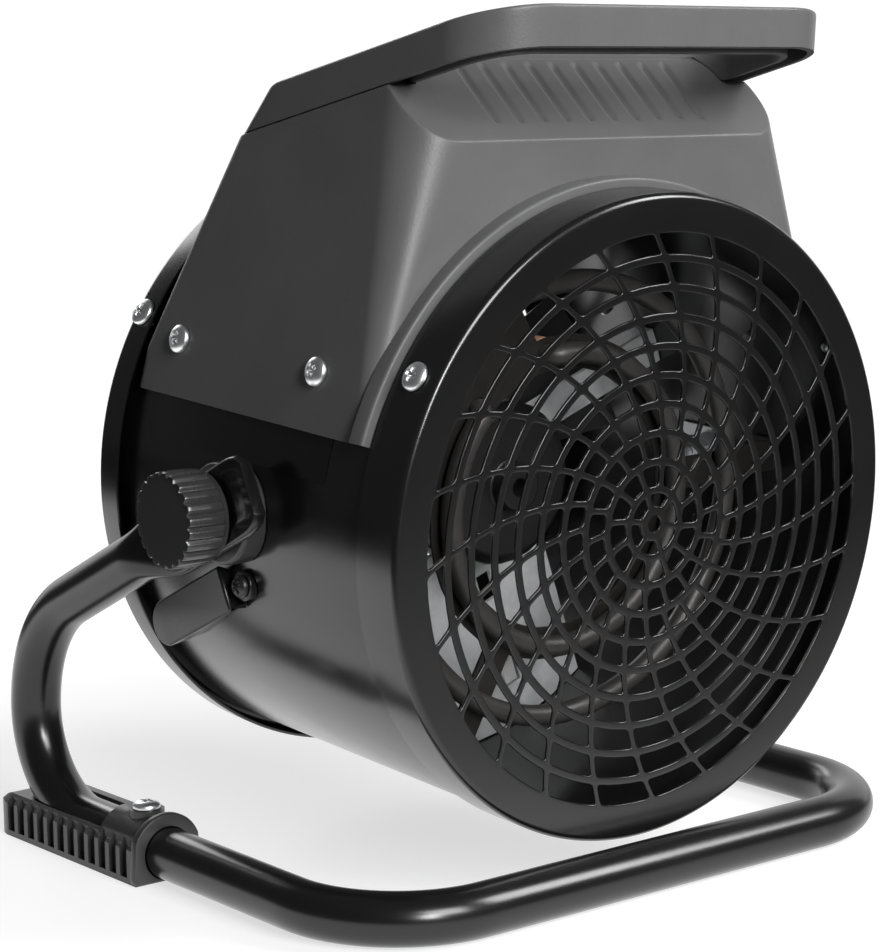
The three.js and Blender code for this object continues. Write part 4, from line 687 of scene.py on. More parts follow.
def cover_ring(template, z, inset):
    """The cover's outline at height z: walls lean inwards with height and the front corners open out."""
    half = COVER_SIDE - COVER_LEAN * z - inset
    share = (z - COVER_BOTTOM) / (160.0 - COVER_BOTTOM)
    front = 25.5 + 4.5 * share + inset
    rear = REAR_LOW - np.maximum(0, z - REAR_KNEE) * REAR_LEAN - inset
    front_round = np.maximum(0.6, 3.5 + 19.5 * share - inset)
    rear_round = 6.0 - inset
    return ring_points(template, (half - front_round, half - rear_round),
                       (front + front_round, rear - rear_round), (front_round, rear_round))


def settle_height(template, inset, rule, start):
    """Solves z = rule(x, y) on the outline by repeated averaging."""
    z = np.full(len(template[0]), start, float)
    for _ in range(60):
        x, y = cover_ring(template, z, inset)
        z = 0.5 * z + 0.5 * rule(x, y)
    return z


def tongue_share(x, y):
    """One inside the part of the cover that reaches up under the handle's plate, zero outside it."""
    half = HANDLE_HALF + HANDLE_TAPER * y - HANDLE_LEG - GAP
    side = np.clip((half - np.abs(x)) / 0.6, 0, 1)
    back = np.clip((96.0 - y) / 0.6, 0, 1)
    return side * back


def groove_depth(x, y, count):
    """Depth of the deck grooves: a cosine trough about each groove's centre line, fading at its ends."""
    centres = 10.7 * (np.arange(count) - (count - 1) / 2)
    across = np.abs(x[:, None] - centres[None])
    along = np.maximum(0, np.maximum(37.5 - y, y - 57.0))[:, None]
    away = np.sqrt(across ** 2 + along ** 2) if count else np.full((len(x), 1), 9.0)
    near = away.min(1)
    return 1.3 * np.clip(1.25 * 0.5 * (1 + np.cos(np.pi * np.clip(near / 2.3, 0, 1))), 0, 1)


def cover_top(x, y, drop=0.0, tongue_drop=0.0):
    """The lower of the deck and the handle's underside, which is higher over the tongue, less "drop"."""
    under_skirt = handle_height(y) - HANDLE_HEIGHT - GAP - drop
    under_plate = handle_height(y) - HANDLE_PLATE - GAP - drop - tongue_drop
    closed = under_skirt + (under_plate - under_skirt) * tongue_share(x, y)
    return np.minimum(deck_height(y) - drop * DECK_UPRIGHT, closed)


class OBJECT_OT_heater_cover(bpy.types.Operator):
    """Top cover: leaning walls with widening front corners, grooved deck, inner wall and arched lip"""
    bl_idname = "object.heater_cover"
    bl_label = "Top cover"

    def execute(self, context):
        grooves = sizes().deck_grooves
        template = ring_columns(18, 60, 90, 50)

        def on_barrel(x, y):
            """The walls' foot: the barrel's circle, but never below the cover's lower edge."""
            return np.maximum(COVER_BOTTOM, np.sqrt(np.maximum(0, (BARREL_R + GAP) ** 2 - x ** 2)))

        def under_handle(x, y):
            """The walls' top: the deck, or the gap under the handle's skirt where that is lower."""
            return np.minimum(deck_height(y), handle_height(y) - HANDLE_HEIGHT - GAP)

        def outline(z, inset=0.0):
            """The cover's ring lifted to its height."""
            return xyz(*cover_ring(template, z, inset), z)

        def wall(low, high, rows, inset=0.0):
            """Rings spread evenly between two heights."""
            return outline(low + (high - low) * np.linspace(0, 1, rows)[:, None], inset)

        def surface(x, y):
            """The cover's top, less the grooves where the deck lies below the handle's plate."""
            deck = deck_height(y) <= handle_height(y) - HANDLE_PLATE
            return cover_top(x, y) - np.where(deck, groove_depth(x, y, grooves), 0)

        shell = Shell()
        top = settle_height(template, 0.0, under_handle, 140.0)
        foot = settle_height(template, 0.0, on_barrel, 60.0)
        shell.patch(wall(foot, top - COVER_EDGE, 46), wrap_v=True)
        rim = cover_ring(template, top, COVER_EDGE)
        rim = xyz(*rim, under_handle(*rim))
        t = np.linspace(0, 1, 6)[:, None, None]
        shell.patch(bend(outline(top - COVER_EDGE), outline(top), rim, t), wrap_v=True)

        steps = np.linspace(48, 100, 40)
        half = HANDLE_HALF + HANDLE_TAPER * steps - HANDLE_LEG - GAP
        beside = [np.column_stack([s * (half + d), steps]) for s in (-1, 1) for d in (0.05, -0.65)]
        fine = plan_grid(np.linspace(-58, 58, 190), np.linspace(33.5, 62, 34))
        rough = plan_grid(np.linspace(-80, 80, 33), np.linspace(31, 148, 40))
        shell.fill([rim], np.concatenate([fine, rough, *beside]), surface)

        inner_top = settle_height(template, COVER_WALL,
                                  lambda x, y: under_handle(x, y) - COVER_WALL * DECK_UPRIGHT, 136.0)
        inner_foot = settle_height(template, COVER_WALL, on_barrel, 60.0)
        inner = wall(inner_foot, inner_top, 16, COVER_WALL)
        shell.patch(inner, wrap_v=True).band(outline(foot), inner[0])
        shell.fill([inner[-1]], np.concatenate([rough, *beside]),
                   lambda x, y: cover_top(x, y, COVER_WALL, 0.4))

        profile = rounded([(BARREL_R + GAP, 21.8), (118.4, 21.8), (118.6, 28.5), (BARREL_R + GAP, 28.5)],
                          [0.2, 1.4, 0.3, 0.2], 5)
        turn = np.radians(np.linspace(17.0, 163.0, 150))[:, None]
        shell.rod(polar(profile[:, 0], turn, profile[:, 1]))
        shell.piece("cover_shell", "moulded_grey", "top_cover", weld=0.002, sharp=42)
        return {"FINISHED"}


# ------------------------------------------------------------------ handle

def handle_ring(template, inset, front, back, front_round, rear_round):
    """The handle's outline: it widens towards the back; "inset" moves every edge inwards."""
    front, back = front + inset, back - inset
    front_round, rear_round = front_round - inset, rear_round - inset
    half = lambda y: HANDLE_HALF + HANDLE_TAPER * y - inset
    cy = (front + front_round, back - rear_round)
    return ring_points(template, (half(cy[0]) - front_round, half(cy[1]) - rear_round), cy,
                       (front_round, rear_round))


class OBJECT_OT_heater_handle(bpy.types.Operator):
    """Handle: a hollow sloping loop with rounded edges, cross ribs below and a slanted rear end"""
    bl_idname = "object.heater_handle"
    bl_label = "Handle"

    def execute(self, context):
        edge = sizes().handle_edge
        outer_t = ring_columns(20, 60, 60, 40)
        hole_t = ring_columns(16, 40, 60, 60)
        shell = Shell()
        # heights of the handle's lower edge, of the underside of its plate and of its top
        bottom = lambda y: handle_height(y) - HANDLE_HEIGHT
        ceiling = lambda x, y: handle_height(y) - HANDLE_PLATE
        top = lambda x, y: handle_height(y)

        def outer(share, inset=0.0):
            """The outer wall at a share of its height: its rear end slants forward on the way up."""
            back = 130.6 + (115.7 - 130.6) * share
            x, y = handle_ring(outer_t, inset, 0.0, back, 27.0, 8.0)
            return x, y, bottom(y) + HANDLE_HEIGHT * share

        def hole(grow):
            """The hole's outline with every edge moved out by "grow"."""
            return handle_ring(hole_t, HANDLE_LEG - grow, HANDLE_BAR - HANDLE_LEG, HOLE_BACK + HANDLE_LEG,
                               16.0 + HANDLE_LEG, 16.0 + HANDLE_LEG)

        t = np.linspace(0, 1, 7)[:, None, None]
        walls = np.stack([xyz(*outer(s)) for s in np.linspace(0, 1 - edge / HANDLE_HEIGHT, 8)])
        x, y, _ = outer(1.0, edge)
        flat = xyz(x, y, handle_height(y))
        shell.patch(walls, wrap_v=True).patch(bend(walls[-1], xyz(*outer(1.0)), flat, t), wrap_v=True)

        x, y = hole(0.0)
        hole_top = xyz(x, y, handle_height(y) - edge)
        hole_low = xyz(x, y, np.clip(deck_height(y) + 0.4, bottom(y), handle_height(y) - HANDLE_PLATE))
        crest = xyz(x, y, handle_height(y))
        x, y = hole(edge)
        lip = xyz(x, y, handle_height(y))
        shell.patch(bend(hole_top, crest, lip, t), wrap_v=True).band(hole_low, hole_top)
        shell.fill([flat, lip], [], top)

        x, y, _ = outer(0.0, HANDLE_WALL)
        inner_low = xyz(x, y, bottom(y))
        x, y, _ = outer(1 - HANDLE_PLATE / HANDLE_HEIGHT, HANDLE_WALL)
        inner_high = xyz(x, y, ceiling(x, y))
        shell.band(walls[0], inner_low).band(inner_low, inner_high)
        x, y = hole(HANDLE_WALL)
        wall_low = xyz(x, y, np.clip(deck_height(y) + 0.4, bottom(y), ceiling(x, y) - 0.05))
        wall_high = xyz(x, y, ceiling(x, y))
        shell.band(hole_low, wall_low).band(wall_low, wall_high)
        shell.fill([inner_high, wall_high], [], ceiling)

        def rib(x0, x1, y0, y1):
            """A thin block from just above the handle's lower edge up into its plate."""
            plan = np.array([(x0, y0), (x1, y0), (x1, y1), (x0, y1)], float)
            shell.rod([np.column_stack([plan, bottom(plan[:, 1]) + 1.6]),
                       np.column_stack([plan, ceiling(0, plan[:, 1]) + 0.2])])

        for x in 18.0 * (np.arange(7) - 3):
            rib(x - 1, x + 1, 1.0, HANDLE_BAR - 0.6)
        for side in (-1, 1):
            for y in (29.0, 44.0):
                half = HANDLE_HALF + HANDLE_TAPER * y
                rib(*sorted((side * (half - HANDLE_LEG + 0.6), side * (half - 1.0))), y, y + 2.0)
        shell.piece("handle_loop", "moulded_grey", "handle", weld=0.002, sharp=42)
        return {"FINISHED"}


# ------------------------------------------------------------------ stand

def rail_height(back):
    """Height of the rail's axis from the pivot, a little higher at the rear than at the front."""
    return TUBE_R - PIVOT[2] + 1.8 * (back - RAIL_FRONT) / (RAIL_REAR - RAIL_FRONT)


def bent_path(corners, radii, straight, arc):
    """Straight runs joined by circular arcs of the given radii, sampled evenly in each stretch."""
    pieces, last = [], corners[0]
    for k in range(1, len(corners) - 1):
        back, ahead = corners[k - 1] - corners[k], corners[k + 1] - corners[k]
        back, ahead = back / np.linalg.norm(back), ahead / np.linalg.norm(ahead)
        half = math.acos(float(np.clip(back @ ahead, -1, 1))) / 2
        reach, turn = radii[k] / math.tan(half), math.pi - 2 * half
        middle = (back + ahead) / np.linalg.norm(back + ahead)
        centre = corners[k] + middle * radii[k] / math.sin(half)
        start, end = corners[k] + back * reach - centre, corners[k] + ahead * reach - centre
        run = np.linspace(0, 1, straight, endpoint=False)[:, None]
        pieces.append(last + (centre + start - last) * run)
        t = np.linspace(0, 1, arc, endpoint=False)[:, None]
        pieces.append(centre + (start * np.sin((1 - t) * turn) + end * np.sin(t * turn)) / math.sin(turn))
        last = centre + end
    run = np.linspace(0, 1, straight)[:, None]
    return np.concatenate([*pieces, last + (corners[-1] - last) * run])


class OBJECT_OT_heater_stand(bpy.types.Operator):
    """Stand: one bent round tube whose ends are pressed flat with a shallow dish"""
    bl_idname = "object.heater_stand"
    bl_label = "Stand tube"

    def execute(self, context):
        def side(sign):
            """Corners of one arm and rail, from the arm's end down to the front bar."""
            x = sign * STAND_HALF
            return [(x, -28.5 * math.cos(ARM_ANGLE), 28.5 * math.sin(ARM_ANGLE)),
                    (x, 114.5, -114.5 * math.tan(ARM_ANGLE)), (x, RAIL_REAR, rail_height(RAIL_REAR)),
                    (x, RAIL_FRONT, rail_height(RAIL_FRONT))]

        corners = np.array(side(-1) + side(1)[::-1], float)
        path = bent_path(corners, [0, 51, 38, 45, 45, 38, 51, 0], 44, 26)
        tangent = np.gradient(path, axis=0)
        flat_frame = np.cross((0.0, 0.0, 1.0), tangent)
        on_side = (np.abs(np.abs(path[:, 0]) - STAND_HALF) < 1e-6)[:, None]
        facing = xyz(-np.sign(path[:, 0]), 0.0, 0.0)
        sideways = np.where(on_side, facing, flat_frame)
        # flat up to 50.5 mm from an end, round from 74.5 mm on, with a rounded tip and a dish on one side
        steps = np.linalg.norm(np.diff(path, axis=0), axis=1)
        walked = np.concatenate([[0], np.cumsum(steps)])
        from_end = np.minimum(walked, walked[-1] - walked)[:, None]
        ramp = np.clip((from_end - 50.5) / 24.0, 0, 1)
        flat = 1 - ramp * ramp * (3 - 2 * ramp)
        near = 1 - np.clip(from_end / 10.0, 0, 1)
        width = 14.2 * (0.7 + 0.3 * np.sqrt(1 - near ** 2))
        u, v = circle(56, 1.0, math.pi / 56).T
        dish = np.clip((9.4 - np.abs(v)[None] * width) / 2.5, 0, 1)
        lengthwise = np.clip((from_end - 3.5) / 3.0, 0, 1) * np.clip((58.0 - from_end) / 10.0, 0, 1)
        dent = np.where(u[None] < 0, 0.9 * dish * dish * (3 - 2 * dish) * lengthwise, 0)
        thick = 2.35 * np.clip(2.6 * u, -1, 1)[None] + dent
        blend_u = TUBE_R * u[None] * (1 - flat) + (thick + 2.15) * flat
        blend_v = (TUBE_R * (1 - flat) + width * flat) * v[None]
        tube = sweep(Shell(from_pivot), path, sideways, np.stack([blend_u, blend_v], -1))
        tube.piece("stand_bent_tube", "stand_paint", "stand_tube", "stand", sharp=60)
        return {"FINISHED"}


class OBJECT_OT_heater_feet(bpy.types.Operator):
    """Feet: the moulded saddles on both rails with rounded rear ends and a lip around the tube"""
    bl_idname = "object.heater_feet"
    bl_label = "Feet"

    def execute(self, context):
        for name, side in SIDES:
            saddle = softened(f"foot_{name}", f"moulded_foot_{name}", "black_plastic", 0.8, body="stand")
            self.round_end(saddle.data)
            self.lip(side).piece(f"foot_lip_{name}", "black_plastic", body="stand")
        return {"FINISHED"}

    def round_end(self, mesh, radius=11.0, top=18.0):
        """Slices the rear end and lowers its upper edge along a quarter circle."""
        rear = PIVOT[1] + FOOT_REAR
        work = bmesh.new()
        work.from_mesh(mesh)
        for turn in np.radians((12, 26, 42, 60, 78)):
            plane = (0, (rear - radius * (1 - math.sin(turn))) * MM, 0)
            bmesh.ops.bisect_plane(work, geom=[*work.verts, *work.edges, *work.faces], dist=1e-6,
                                   plane_co=plane, plane_no=(0, 1, 0))
        work.to_mesh(mesh)
        work.free()
        points = np.empty(3 * len(mesh.vertices))
        mesh.vertices.foreach_get("co", points)
        points = points.reshape(-1, 3) / MM
        ahead = np.clip(points[:, 1] - (rear - radius), 0, radius)
        allowed = top - radius + np.sqrt(radius ** 2 - ahead ** 2)
        points[:, 2] = np.where(ahead > 0, np.minimum(points[:, 2], allowed), points[:, 2])
        mesh.vertices.foreach_set("co", (points * MM).ravel())
        mesh.set_sharp_from_angle(angle=math.radians(35))
        mesh.update()

    def lip(self, side):
        """A thin plate over the foot's front, square at the floor and arched over the tube."""
        arch = np.radians(np.linspace(22, 158, 29))
        middle = rail_height(FOOT_FRONT)
        over = np.column_stack([14.6 * np.cos(arch), middle + 14.6 * np.sin(arch)])
        floor = -PIVOT[2] + 0.3
        plate = rounded([(14.6, middle + 2), (-14.6, middle + 2), (-14.6, floor), (14.6, floor)],
                        (0.01, 0.01, 2.6, 2.6), 5)
        outline = np.concatenate([over, plate[12:]])
        hole = circle(64, TUBE_R + 0.45) + (0, middle)
        front, rear = -1.0, 2.6
        steps = ((0.9, rear), (0.25, 2.35), (0.0, 1.8), (0.0, -0.2), (0.3, -0.75), (0.9, front))
        rings = [level(outline + inward(outline) * inset, depth) for inset, depth in steps]
        bore = [level(hole, rear), level(hole, front)]
        shell = Shell(lambda p: from_pivot(xyz(side * STAND_HALF + p[..., 0], FOOT_FRONT + p[..., 2],
                                               p[..., 1])))
        shell.band(*rings).band(*bore)
        for end, depth in ((0, rear), (-1, front)):
            shell.fill([rings[end], bore[end]], [], lambda x, y, depth=depth: np.full(len(x), depth))
        return shell


# ------------------------------------------------------------------ pivot hardware and screws

class OBJECT_OT_heater_knobs(bpy.types.Operator):
    """Clamp knobs: fluted cylinders with a collar and a faintly dished face"""
    bl_idname = "object.heater_knobs"
    bl_label = "Clamp knobs"

    def execute(self, context):
        flutes = sizes().knob_flutes
        black = finishes().soft_black
        gloss = finish("polished_black_plastic", black, 0.27, grain=900, bump=0.35, depth=0.05, specular=0.8)
        # The outer face takes a matt finish at 0.3 of the knob's black: the darker colour is a painted shade
        # on the face.
        matt_painted_shade = finish("matt_black_plastic_painted_shade", [0.3 * c for c in black], 0.6, grain=1500, bump=0.3,
                      specular=0.15)
        angle = whole_turn(flutes * 12)[:, None]
        groove = (0.5 * (1 + np.cos(flutes * angle))) ** 3.2
        x = np.array([127.5, 127.5, 127.8, 129.0, 129.3, 129.6, 130.6, 136, 142.6, 143.7, 144.2, 144.45,
                      144.5, 144.4, 144.3])
        r = np.array([4.4, 15.2, 15.7, 15.8, 15.8, 16.4, 16.8, 16.9, 16.8, 16.7, 16.5, 16.1, 15.6, 13.0,
                      0.001])
        cut = np.array([0, 0, 0, 0, 0, 0.6, 1.2, 1.3, 1.3, 1.3, 1.2, 0.9, 0.5, 0, 0])
        bore_x, bore_r = np.array([127.5, 139.5, 139.5]), np.array([4.4, 4.4, 0.001])
        for name, side in SIDES:
            shell = Shell(lambda p: to_row(p + (0, PIVOT_DEPTH, 0)))
            for out, radius in ((x, r - cut * groove), (bore_x, bore_r)):
                shell.patch(xyz(side * out, radius * np.cos(angle), radius * np.sin(angle)), wrap_u=True)
            knob = shell.piece(f"fluted_knob_{name}", "black_plastic", f"clamp_knob_{name}", f"knob_{name}",
                               gloss, sharp=45)
            faces = knob.data.polygons
            middle, normal = np.empty(3 * len(faces)), np.empty(3 * len(faces))
            faces.foreach_get("center", middle)
            faces.foreach_get("normal", normal)
            # The faces of the outer end get the matt material, with its painted shade.
            shaded_outer_end = (np.abs(middle[::3]) > 144.0 * MM) & (np.abs(normal[::3]) > 0.7)
            knob.data.materials.append(matt_painted_shade)
            faces.foreach_set("material_index", shaded_outer_end.astype(np.int32))
        return {"FINISHED"}


def screw(origin, way, place=to_row, radius=5.1, length=9.0, spin=20.0):
    """A pan head with a cross recess: domed height over a polar grid, less a cross-shaped well."""
    height, shank = 2.7, 1.9
    origin, way = np.asarray(origin, float), np.asarray(way, float)
    way = way / np.linalg.norm(way)
    u, v = square_to(way)
    angle = whole_turn(72)[:, None]

    def turned(r, depth):
        """Points at radius r about the screw's axis and "depth" below its seat."""
        across = u * (r * np.cos(angle))[..., None] + v * (r * np.sin(angle))[..., None]
        return origin + way * np.asarray(depth)[..., None] + across

    r = np.concatenate([[0.001], np.linspace(0.25, 0.94, 20), [0.98, 1.0]])[None] * radius
    lift = height * np.sqrt(np.clip(1 - (r / radius) ** 2.6 * 0.86, 0, 1))
    lift = np.where(r >= radius, 0.35, lift)
    phase = angle + math.radians(spin)
    x, y = np.abs(r * np.cos(phase)), np.abs(r * np.sin(phase))
    arm, reach = np.minimum(x, y), np.maximum(x, y)
    well = np.clip((0.78 - arm) / 0.22, 0, 1) * np.clip((2.5 - reach) / 0.35, 0, 1)
    head = turned(r, well * (1.5 - 0.32 * reach) - lift)
    base = turned(np.array([radius, shank, shank, 0.4, 0.001]), [0, 0, length - 1.2, length, length])
    shell = Shell(place)
    shell.patch(head, wrap_u=True).patch(np.concatenate([head[:, -1:], base[:, :1]], 1), wrap_u=True)
    return shell.patch(base, wrap_u=True)


def around(radius, angle, depth):
    """A point at a radius and an angle in degrees about the barrel's axis."""
    return polar(radius, math.radians(angle), depth)


class OBJECT_OT_heater_screws(bpy.types.Operator):
    """Screws: cross-recessed pan heads of the guards, cover, straps and feet"""
    bl_idname = "object.heater_screws"
    bl_label = "Screws"

    def execute(self, context):
        guards = (("front", FRONT_GUARD_R, FRONT_SCREWS), ("rear", REAR_GUARD_R, REAR_SCREWS))
        for i, angle in enumerate(GUARD_ANGLES, 1):
            for end, radius, depth in guards:
                pan = screw(around(radius + GAP, angle, depth), -around(1.0, angle, 0.0), spin=20 + 31 * i)
                pan.piece(f"{end}_pan_screw_{i}", "zinc", f"{end}_guard_screw_{i}", sharp=50)
        seats = [(side, depth) for _, side in SIDES for depth in (56.0, 138.0)]
        for i, (side, depth) in enumerate(seats, 1):
            way = np.array([-side, 0, -COVER_LEAN]) / math.hypot(1, COVER_LEAN)
            seat = np.array([side * (COVER_SIDE - COVER_LEAN * 53.5), depth, 53.5]) - way * GAP
            pan = screw(seat, way, length=10.0, spin=12 + 27 * i)
            pan.piece(f"cover_pan_screw_{i}", "zinc", f"cover_screw_{i}", sharp=50)
        for name, side in SIDES:
            depth, z = arm_depth(9.2, -24.6)
            pan = screw((side * (EAR_FACE + GAP), depth, z), (-side, 0, 0), radius=4.0, spin=40)
            pan.piece(f"strap_pan_screw_{name}", "black_steel", f"strap_screw_{name}", sharp=50)
            seat = (side * STAND_HALF, 42.5, 24.5 + GAP - PIVOT[2])
            pan = screw(seat, (0, 0, -1), from_pivot, spin=33)
            pan.piece(f"foot_pan_screw_{name}", "zinc", f"foot_screw_{name}", "stand", sharp=50)
        return {"FINISHED"}


def arm_depth(along, above):
    """Depth and height of a point measured back along the arm and up from it, seen from the side."""
    tilt = ARM_ANGLE + REST_TILT
    return (PIVOT_DEPTH + along * math.cos(tilt) + above * math.sin(tilt),
            -along * math.sin(tilt) + above * math.cos(tilt))


def barrel_pad(side, outline, face, edge, draft):
    """A flat pad beside the barrel, at |x| = face, over the outline [along, above].

    The sides lean in by "draft" on their way down to the barrel, the upper edge is a quarter round.
    """
    def place(p):
        """Points [along, above, out] beside the barrel to the row frame."""
        depth, z = arm_depth(p[..., 0], p[..., 1])
        return to_row(xyz(side * p[..., 2], depth, z))

    def on_barrel(along, above):
        """How far out the barrel's circle lies, with a gap, at the point's height."""
        return np.sqrt((BARREL_R + GAP) ** 2 - arm_depth(along, above)[1] ** 2)

    shell = Shell(place)
    square = inward(outline)
    foot = outline + square * draft
    rings = [np.column_stack([foot, on_barrel(*foot.T)])]
    for turn in np.radians(np.linspace(0, 90, 6)):
        plan = outline + square * edge * (1 - math.cos(turn))
        rings.append(level(plan, face - edge * (1 - math.sin(turn))))
    shell.band(*rings)
    low, top = outline.min(0), outline.max(0)
    inside = plan_grid(np.linspace(low[0], top[0], 18), np.linspace(low[1], top[1], 9))
    shrunk = foot * 0.96 + foot.mean(0) * 0.04
    shell.fill([rings[0]], inside[within(inside, [shrunk])], on_barrel)
    return shell.fill([rings[-1]], [], lambda x, y: np.full(len(x), face))


class OBJECT_OT_heater_pivots(bpy.types.Operator):
    """Pivot spacers, and the flat round-ended straps and screw ears beside the arms"""
    bl_idname = "object.heater_pivots"
    bl_label = "Spacers and straps"

    def execute(self, context):
        deep = finish("deep_black_plastic", [0.25 * c for c in finishes().soft_black], 0.28, grain=1100,
                      bump=0.3, depth=0.04, dust=0.002)
        end = np.radians(np.linspace(-90, 90, 25))
        tip = np.column_stack([57.5 + 8.5 * np.cos(end), -22.9 + 8.5 * np.sin(end)])
        bar = np.concatenate([tip, [(16.5, -14.4), (15.6, -15.2), (15.6, -30.6), (16.5, -31.4)]])
        ear = circle(28, 5.4) + (9.4, -24.4)
        for name, side in SIDES:
            softened(f"spacer_{name}", f"pivot_spacer_{name}", "black_plastic", 0.5, 40)
            strap = barrel_pad(side, bar, STRAP_FACE, 1.0, 2.6)
            strap.piece(f"arm_strap_{name}", "black_plastic", f"side_strap_{name}", material=deep, sharp=50)
            lug = barrel_pad(side, ear, EAR_FACE, 0.5, 0.4)
            lug.piece(f"strap_ear_{name}", "black_plastic", material=deep, sharp=50)
        return {"FINISHED"}


# ------------------------------------------------------------------ controls

def back_point(x, z, out):
    """A point on the cover's leaning back wall, moved "out" along the wall's normal, and that normal."""
    n = np.array([0, 1, REAR_LEAN]) / math.hypot(1, REAR_LEAN)
    return np.array([x, REAR_LOW - (z - REAR_KNEE) * REAR_LEAN, z]) + n * out, n


class OBJECT_OT_heater_controls(bpy.types.Operator):
    """Controls: two ribbed dials with pointers, dotted scales on the cover and the cable gland"""
    bl_idname = "object.heater_controls"
    bl_label = "Controls"

    def execute(self, context):
        mark = finish("pale_marking", (0.75, 0.75, 0.74), 0.5, dust=0.0)
        across = np.array([1.0, 0.0, 0.0])
        angle = whole_turn(240)[:, None]
        r = np.array([3.3, 11.2, 11.6, 11.6, 11.2, 10.2, 9.9, 9.2, 8.6, 7.6, 0.001])
        h = np.array([0, 0, 0.4, 2.2, 2.9, 3.2, 4.5, 11.2, 12.5, 13.0, 13.0])
        rib = np.array([0, 0, 0, 0, 0, 0, 0.5, 0.5, 0.2, 0, 0])
        ribbed = r - rib * (0.5 + 0.5 * np.cos(20 * angle))
        bore_r, bore_h = np.array([3.3, 3.3, 0.001]), np.array([0.0, 10.0, 10.0])
        grip = rounded([(-8.2, -1.7), (8.2, -1.7), (8.2, 1.7), (-8.2, 1.7)], 0.8, 4)
        bar = rounded([(-7.6, -0.5), (-2.0, -0.5), (-2.0, 0.5), (-7.6, 0.5)], 0.2, 2)
        for name, x, marks, span in (("power", -DIAL_X, 4, 135), ("thermostat", DIAL_X, 10, 270)):
            start, n = back_point(x, DIAL_Z, 1.2)
            upward = np.cross(n, across)

            def plate(outline, height, wide=1.0, high=1.0):
                """A flat outline on the dial, at a height above its base."""
                return start + across * outline[:, :1] * wide + upward * outline[:, 1:] * high + n * height

            shell = Shell()
            ring = across * np.cos(angle)[..., None] + upward * np.sin(angle)[..., None]
            for radius, height in ((ribbed, h), (bore_r, bore_h)):
                shell.patch(start + ring * radius[..., None] + n * height[:, None], wrap_u=True)
            shell.rod([plate(grip, 12.8), plate(grip, 14.1, 0.96, 0.8)])
            shell.piece(f"{name}_knob", "black_plastic", f"{name}_dial", f"{name}_control", sharp=40)
            pointer = Shell().rod([plate(bar, 14.0), plate(bar, 14.12)])
            pointer.piece(f"{name}_pointer", "light_plastic", None, f"{name}_control", mark)
            scale = Shell()
            face, _ = back_point(x, DIAL_Z, 0.02)
            for k in range(marks):
                a = math.radians(180 - span * k / (marks - 1))
                spoke = across * math.cos(a) + upward * math.sin(a)
                dot = 0.5 + 0.03 * k
                scale.turn([(0.001, 0), (dot, 0), (dot, 0.1), (0.001, 0.1)], 16, face + spoke * 13.4, n)
            scale.piece(f"{name}_scale", "light_plastic", material=mark)
        start, n = back_point(GLAND_X, GLAND_Z, 0.0)
        outline = [(3.4, -8.5), (5.2, -8.5), (5.2, GAP), (7.5, GAP), (7.5, 5.8), (6.6, 7.0)]
        for k in range(4):
            slim, rise = 0.15 * k, 1.9 * k
            outline += [(6.3 - slim, 7.4 + rise), (6.3 - slim, 8.5 + rise), (5.2 - slim, 8.6 + rise),
                        (5.2 - slim, 9.2 + rise)]
        outline += [(5.2, 15.2), (4.6, 15.5), (3.4, 15.5)]
        Shell().turn(outline, 64, start, n).piece("ribbed_gland", "black_plastic", "cable_gland", sharp=35)
        return {"FINISHED"}


# ------------------------------------------------------------------ inside

